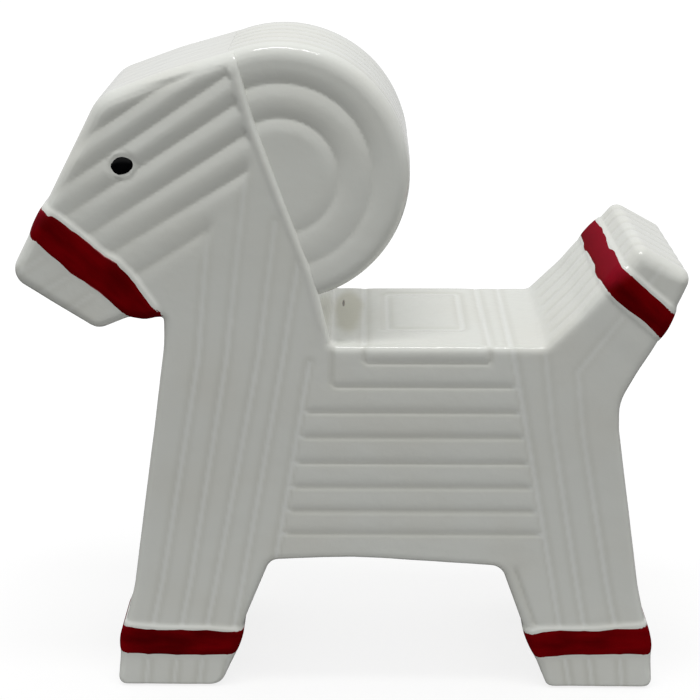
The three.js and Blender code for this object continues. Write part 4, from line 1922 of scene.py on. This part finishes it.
@dataclass
class Eye:
    """A black glazed eye in its shallow spot, with a slightly uneven edge."""

    clay: Clay
    side: Side
    radius: tuple[float, float] = (2.72, 2.5)
    dome: float = 0.45
    seat: float = 0.75
    outside: float = 26.0
    spokes: int = 56
    rings: int = 10

    def build(self, glaze: bpy.types.Material) -> bpy.types.Object:
        """Make the eye.

        Args:
            glaze: The black glaze.

        Returns:
            The piece.
        """
        name = f"eye_{self.side.name.lower()}"
        angle = np.linspace(0, 2 * math.pi, self.spokes, endpoint=False)
        edge = 1 + 0.035 * np.sin(2 * angle + 0.6) + 0.05 * np.exp(-((angle - 4.35) / 0.28) ** 2)
        shares = np.sin(np.linspace(0.12, 1, self.rings) * math.pi / 2)
        levels = [(share, self.dome * math.sqrt(1 - share * share) - RIM_SINK) for share in shares]
        levels += [(0.9, -self.seat), (0.3, -self.seat)]
        rows = [self._ring(angle, edge * share, level) for share, level in levels]
        points = np.vstack([*rows, [rows[0].mean(0)], [rows[-1].mean(0)]])
        points[-2:] = settle(self.clay.body, points[-2:], np.array([self.dome - RIM_SINK, -self.seat]))
        around = np.arange(self.spokes)
        onward = np.roll(around, -1)
        last = (len(rows) - 1) * self.spokes
        skin = Skin(points, np.vstack([
            ring_faces(len(rows), self.spokes, closed=False),
            np.stack([np.full(self.spokes, len(points) - 2), onward, around], 1),
            np.stack([np.full(self.spokes, len(points) - 1), last + around, last + onward], 1),
        ]))
        skin.face_outwards()
        mesh = plain_mesh(name, skin)
        shade_smooth(mesh)
        return finished(name, mesh, glaze)

    def _ring(self, angle: Array, share: Array, level: float) -> Array:
        """One ring around the eye's middle.

        Args:
            angle: Angles.
            share: Shares of the radius.
            level: Height over the clay.

        Returns:
            Points.
        """
        x = self.clay.casting.eye[0] + self.radius[0] * share * np.cos(angle)
        z = self.clay.casting.eye[1] + self.radius[1] * share * np.sin(angle)
        points = np.stack([x, np.full_like(x, self.side.value * self.outside), z], 1)
        for _ in range(6):
            points = settle(self.clay.body, points, level)
        return points


@dataclass
class Studio:
    """Pale floor, one soft lamp, a plain dome and the camera of the photograph, in metres and degrees."""

    camera_place: Corner = (0.00361, -0.42605, 0.26425)
    camera_turn: Corner = (69.0, 0.0, 0.57)
    lens: float = 77.7
    floor_reach: float = 6.0
    floor_drop: float = 0.0002
    lamp_place: Corner = (0, -0.12, 0.85)
    lamp_aim: Corner = (0, 0, 0.15)
    lamp_size: Place = (0.45, 0.1)
    lamp_power: float = 1.7

    def build(self) -> None:
        """Make the stage."""
        self._camera()
        self._floor()
        self._lamp()
        self._world()

    def _camera(self) -> None:
        """Add the camera."""
        data = bpy.data.cameras.new("camera")
        data.lens = self.lens
        data.sensor_width = 36.0
        data.clip_start = 0.01
        camera = bpy.data.objects.new("camera", data)
        camera.location = self.camera_place
        camera.rotation_euler = [math.radians(a) for a in self.camera_turn]
        bpy.context.scene.collection.objects.link(camera)
        bpy.context.scene.camera = camera

    def _floor(self) -> None:
        """Add the floor, which is white away from the object and keeps its shadow near it."""
        reach = self.floor_reach
        corners = [(-reach, -reach, 0), (reach, -reach, 0), (reach, reach, 0), (-reach, reach, 0)]
        mesh = bpy.data.meshes.new("floor")
        mesh.from_pydata(corners, [], [(0, 1, 2, 3)])
        floor = bpy.data.objects.new("floor", mesh)
        floor.location.z = -self.floor_drop
        bpy.context.scene.collection.objects.link(floor)
        floor.visible_glossy = False
        material, nodes, shader = new_material("floor_paper")
        seen = nodes.add("ShaderNodeLightPath", output="Is Camera Ray")
        where = nodes.add("ShaderNodeTexCoord", output="Object")
        far = nodes.vector("LENGTH", where).ramp(0.10, 0.26)
        bounce = nodes.mix(far, (0.42, 0.42, 0.42, 1), (0.15, 0.15, 0.15, 1))
        colour = nodes.mix(seen, bounce, (0.9, 0.9, 0.9, 1))
        nodes.feed(shader, {"Base Color": colour, "Roughness": 0.9, "Specular IOR Level": 0.0})
        paper = Socket(nodes, shader.outputs[0])
        glow = nodes.add("ShaderNodeEmission", {}, {"Color": (1, 1, 1, 1), "Strength": 1.08})
        mixed = nodes.add("ShaderNodeMixShader", {}, {0: seen * (0.74 + 0.26 * far), 1: paper, 2: glow})
        nodes.feed(nodes.tree.nodes["Material Output"], {"Surface": mixed})
        mesh.materials.append(material)

    def _lamp(self) -> None:
        """Add the lamp, a soft box overhead."""
        data = bpy.data.lights.new("overhead", "AREA")
        data.shape = "RECTANGLE"
        data.size, data.size_y = self.lamp_size
        data.energy = self.lamp_power
        lamp = bpy.data.objects.new("overhead", data)
        lamp.location = self.lamp_place
        heading = np.array(self.lamp_aim) - np.array(self.lamp_place)
        length = np.linalg.norm(heading)
        lamp.rotation_euler = (
            math.acos(-heading[2] / length), 0, math.atan2(heading[1], heading[0]) - math.pi / 2,
        )
        bpy.context.scene.collection.objects.link(lamp)

    @staticmethod
    def _world() -> None:
        """Add the soft light of the room, which the camera sees as white."""
        world = bpy.data.worlds.new("room")
        world.use_nodes = True
        bpy.context.scene.world = world
        nodes = Nodes(world.node_tree)
        seen = nodes.add("ShaderNodeLightPath", output="Is Camera Ray")
        heading = nodes.add("ShaderNodeTexCoord", output="Generated")
        height, depth = (nodes.axis(heading, name) for name in ("Z", "Y"))
        sky = 0.02 + 0.7 * (height + 0.45 * depth.ramp(0, 1)).ramp(-0.06, 0.2)
        strength = sky + (1 - sky) * seen
        nodes.feed(world.node_tree.nodes["Background"], {"Color": (1, 1, 1, 1), "Strength": strength})


def all_bands(clay: Clay) -> list[GlazeBand]:
    """The red bands around muzzle, tail and legs.

    Args:
        clay: The clay forms.

    Returns:
        The bands.
    """
    half = clay.casting.half
    inner = clay.casting.leg_gap / 2
    bands = []
    for collar, phase in ((MUZZLE_COLLAR, 0.4), (TAIL_COLLAR, 1.9)):
        bands.append(GlazeBand(clay, collar, collar.name, -half, half, phase, columns=380))
    for collar, phase in ((FORE_COLLAR, 3.1), (HIND_COLLAR, 4.6)):
        bands.append(GlazeBand(clay, collar, collar.name + "_left", -half, -inner, phase))
        bands.append(GlazeBand(clay, collar, collar.name + "_right", inner, half, phase + 1))
    return bands


def main() -> None:
    """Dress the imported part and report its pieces."""
    logging.basicConfig(level=logging.INFO, format="%(message)s")
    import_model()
    bpy.context.scene.view_settings.view_transform = "Standard"
    Studio().build()
    clay = Clay(Casting())
    pieces = Shells(clay, WhiteGlaze().build()).build()
    red = RedGlaze().build()
    pieces += [band.build(red) for band in all_bands(clay)]
    black = BlackGlaze().build()
    pieces += [Eye(clay, side).build(black) for side in Side]
    for piece in pieces:
        LOG.info("%s: %d triangles", piece.name, len(piece.data.polygons))


if __name__ == "__main__":
    main()
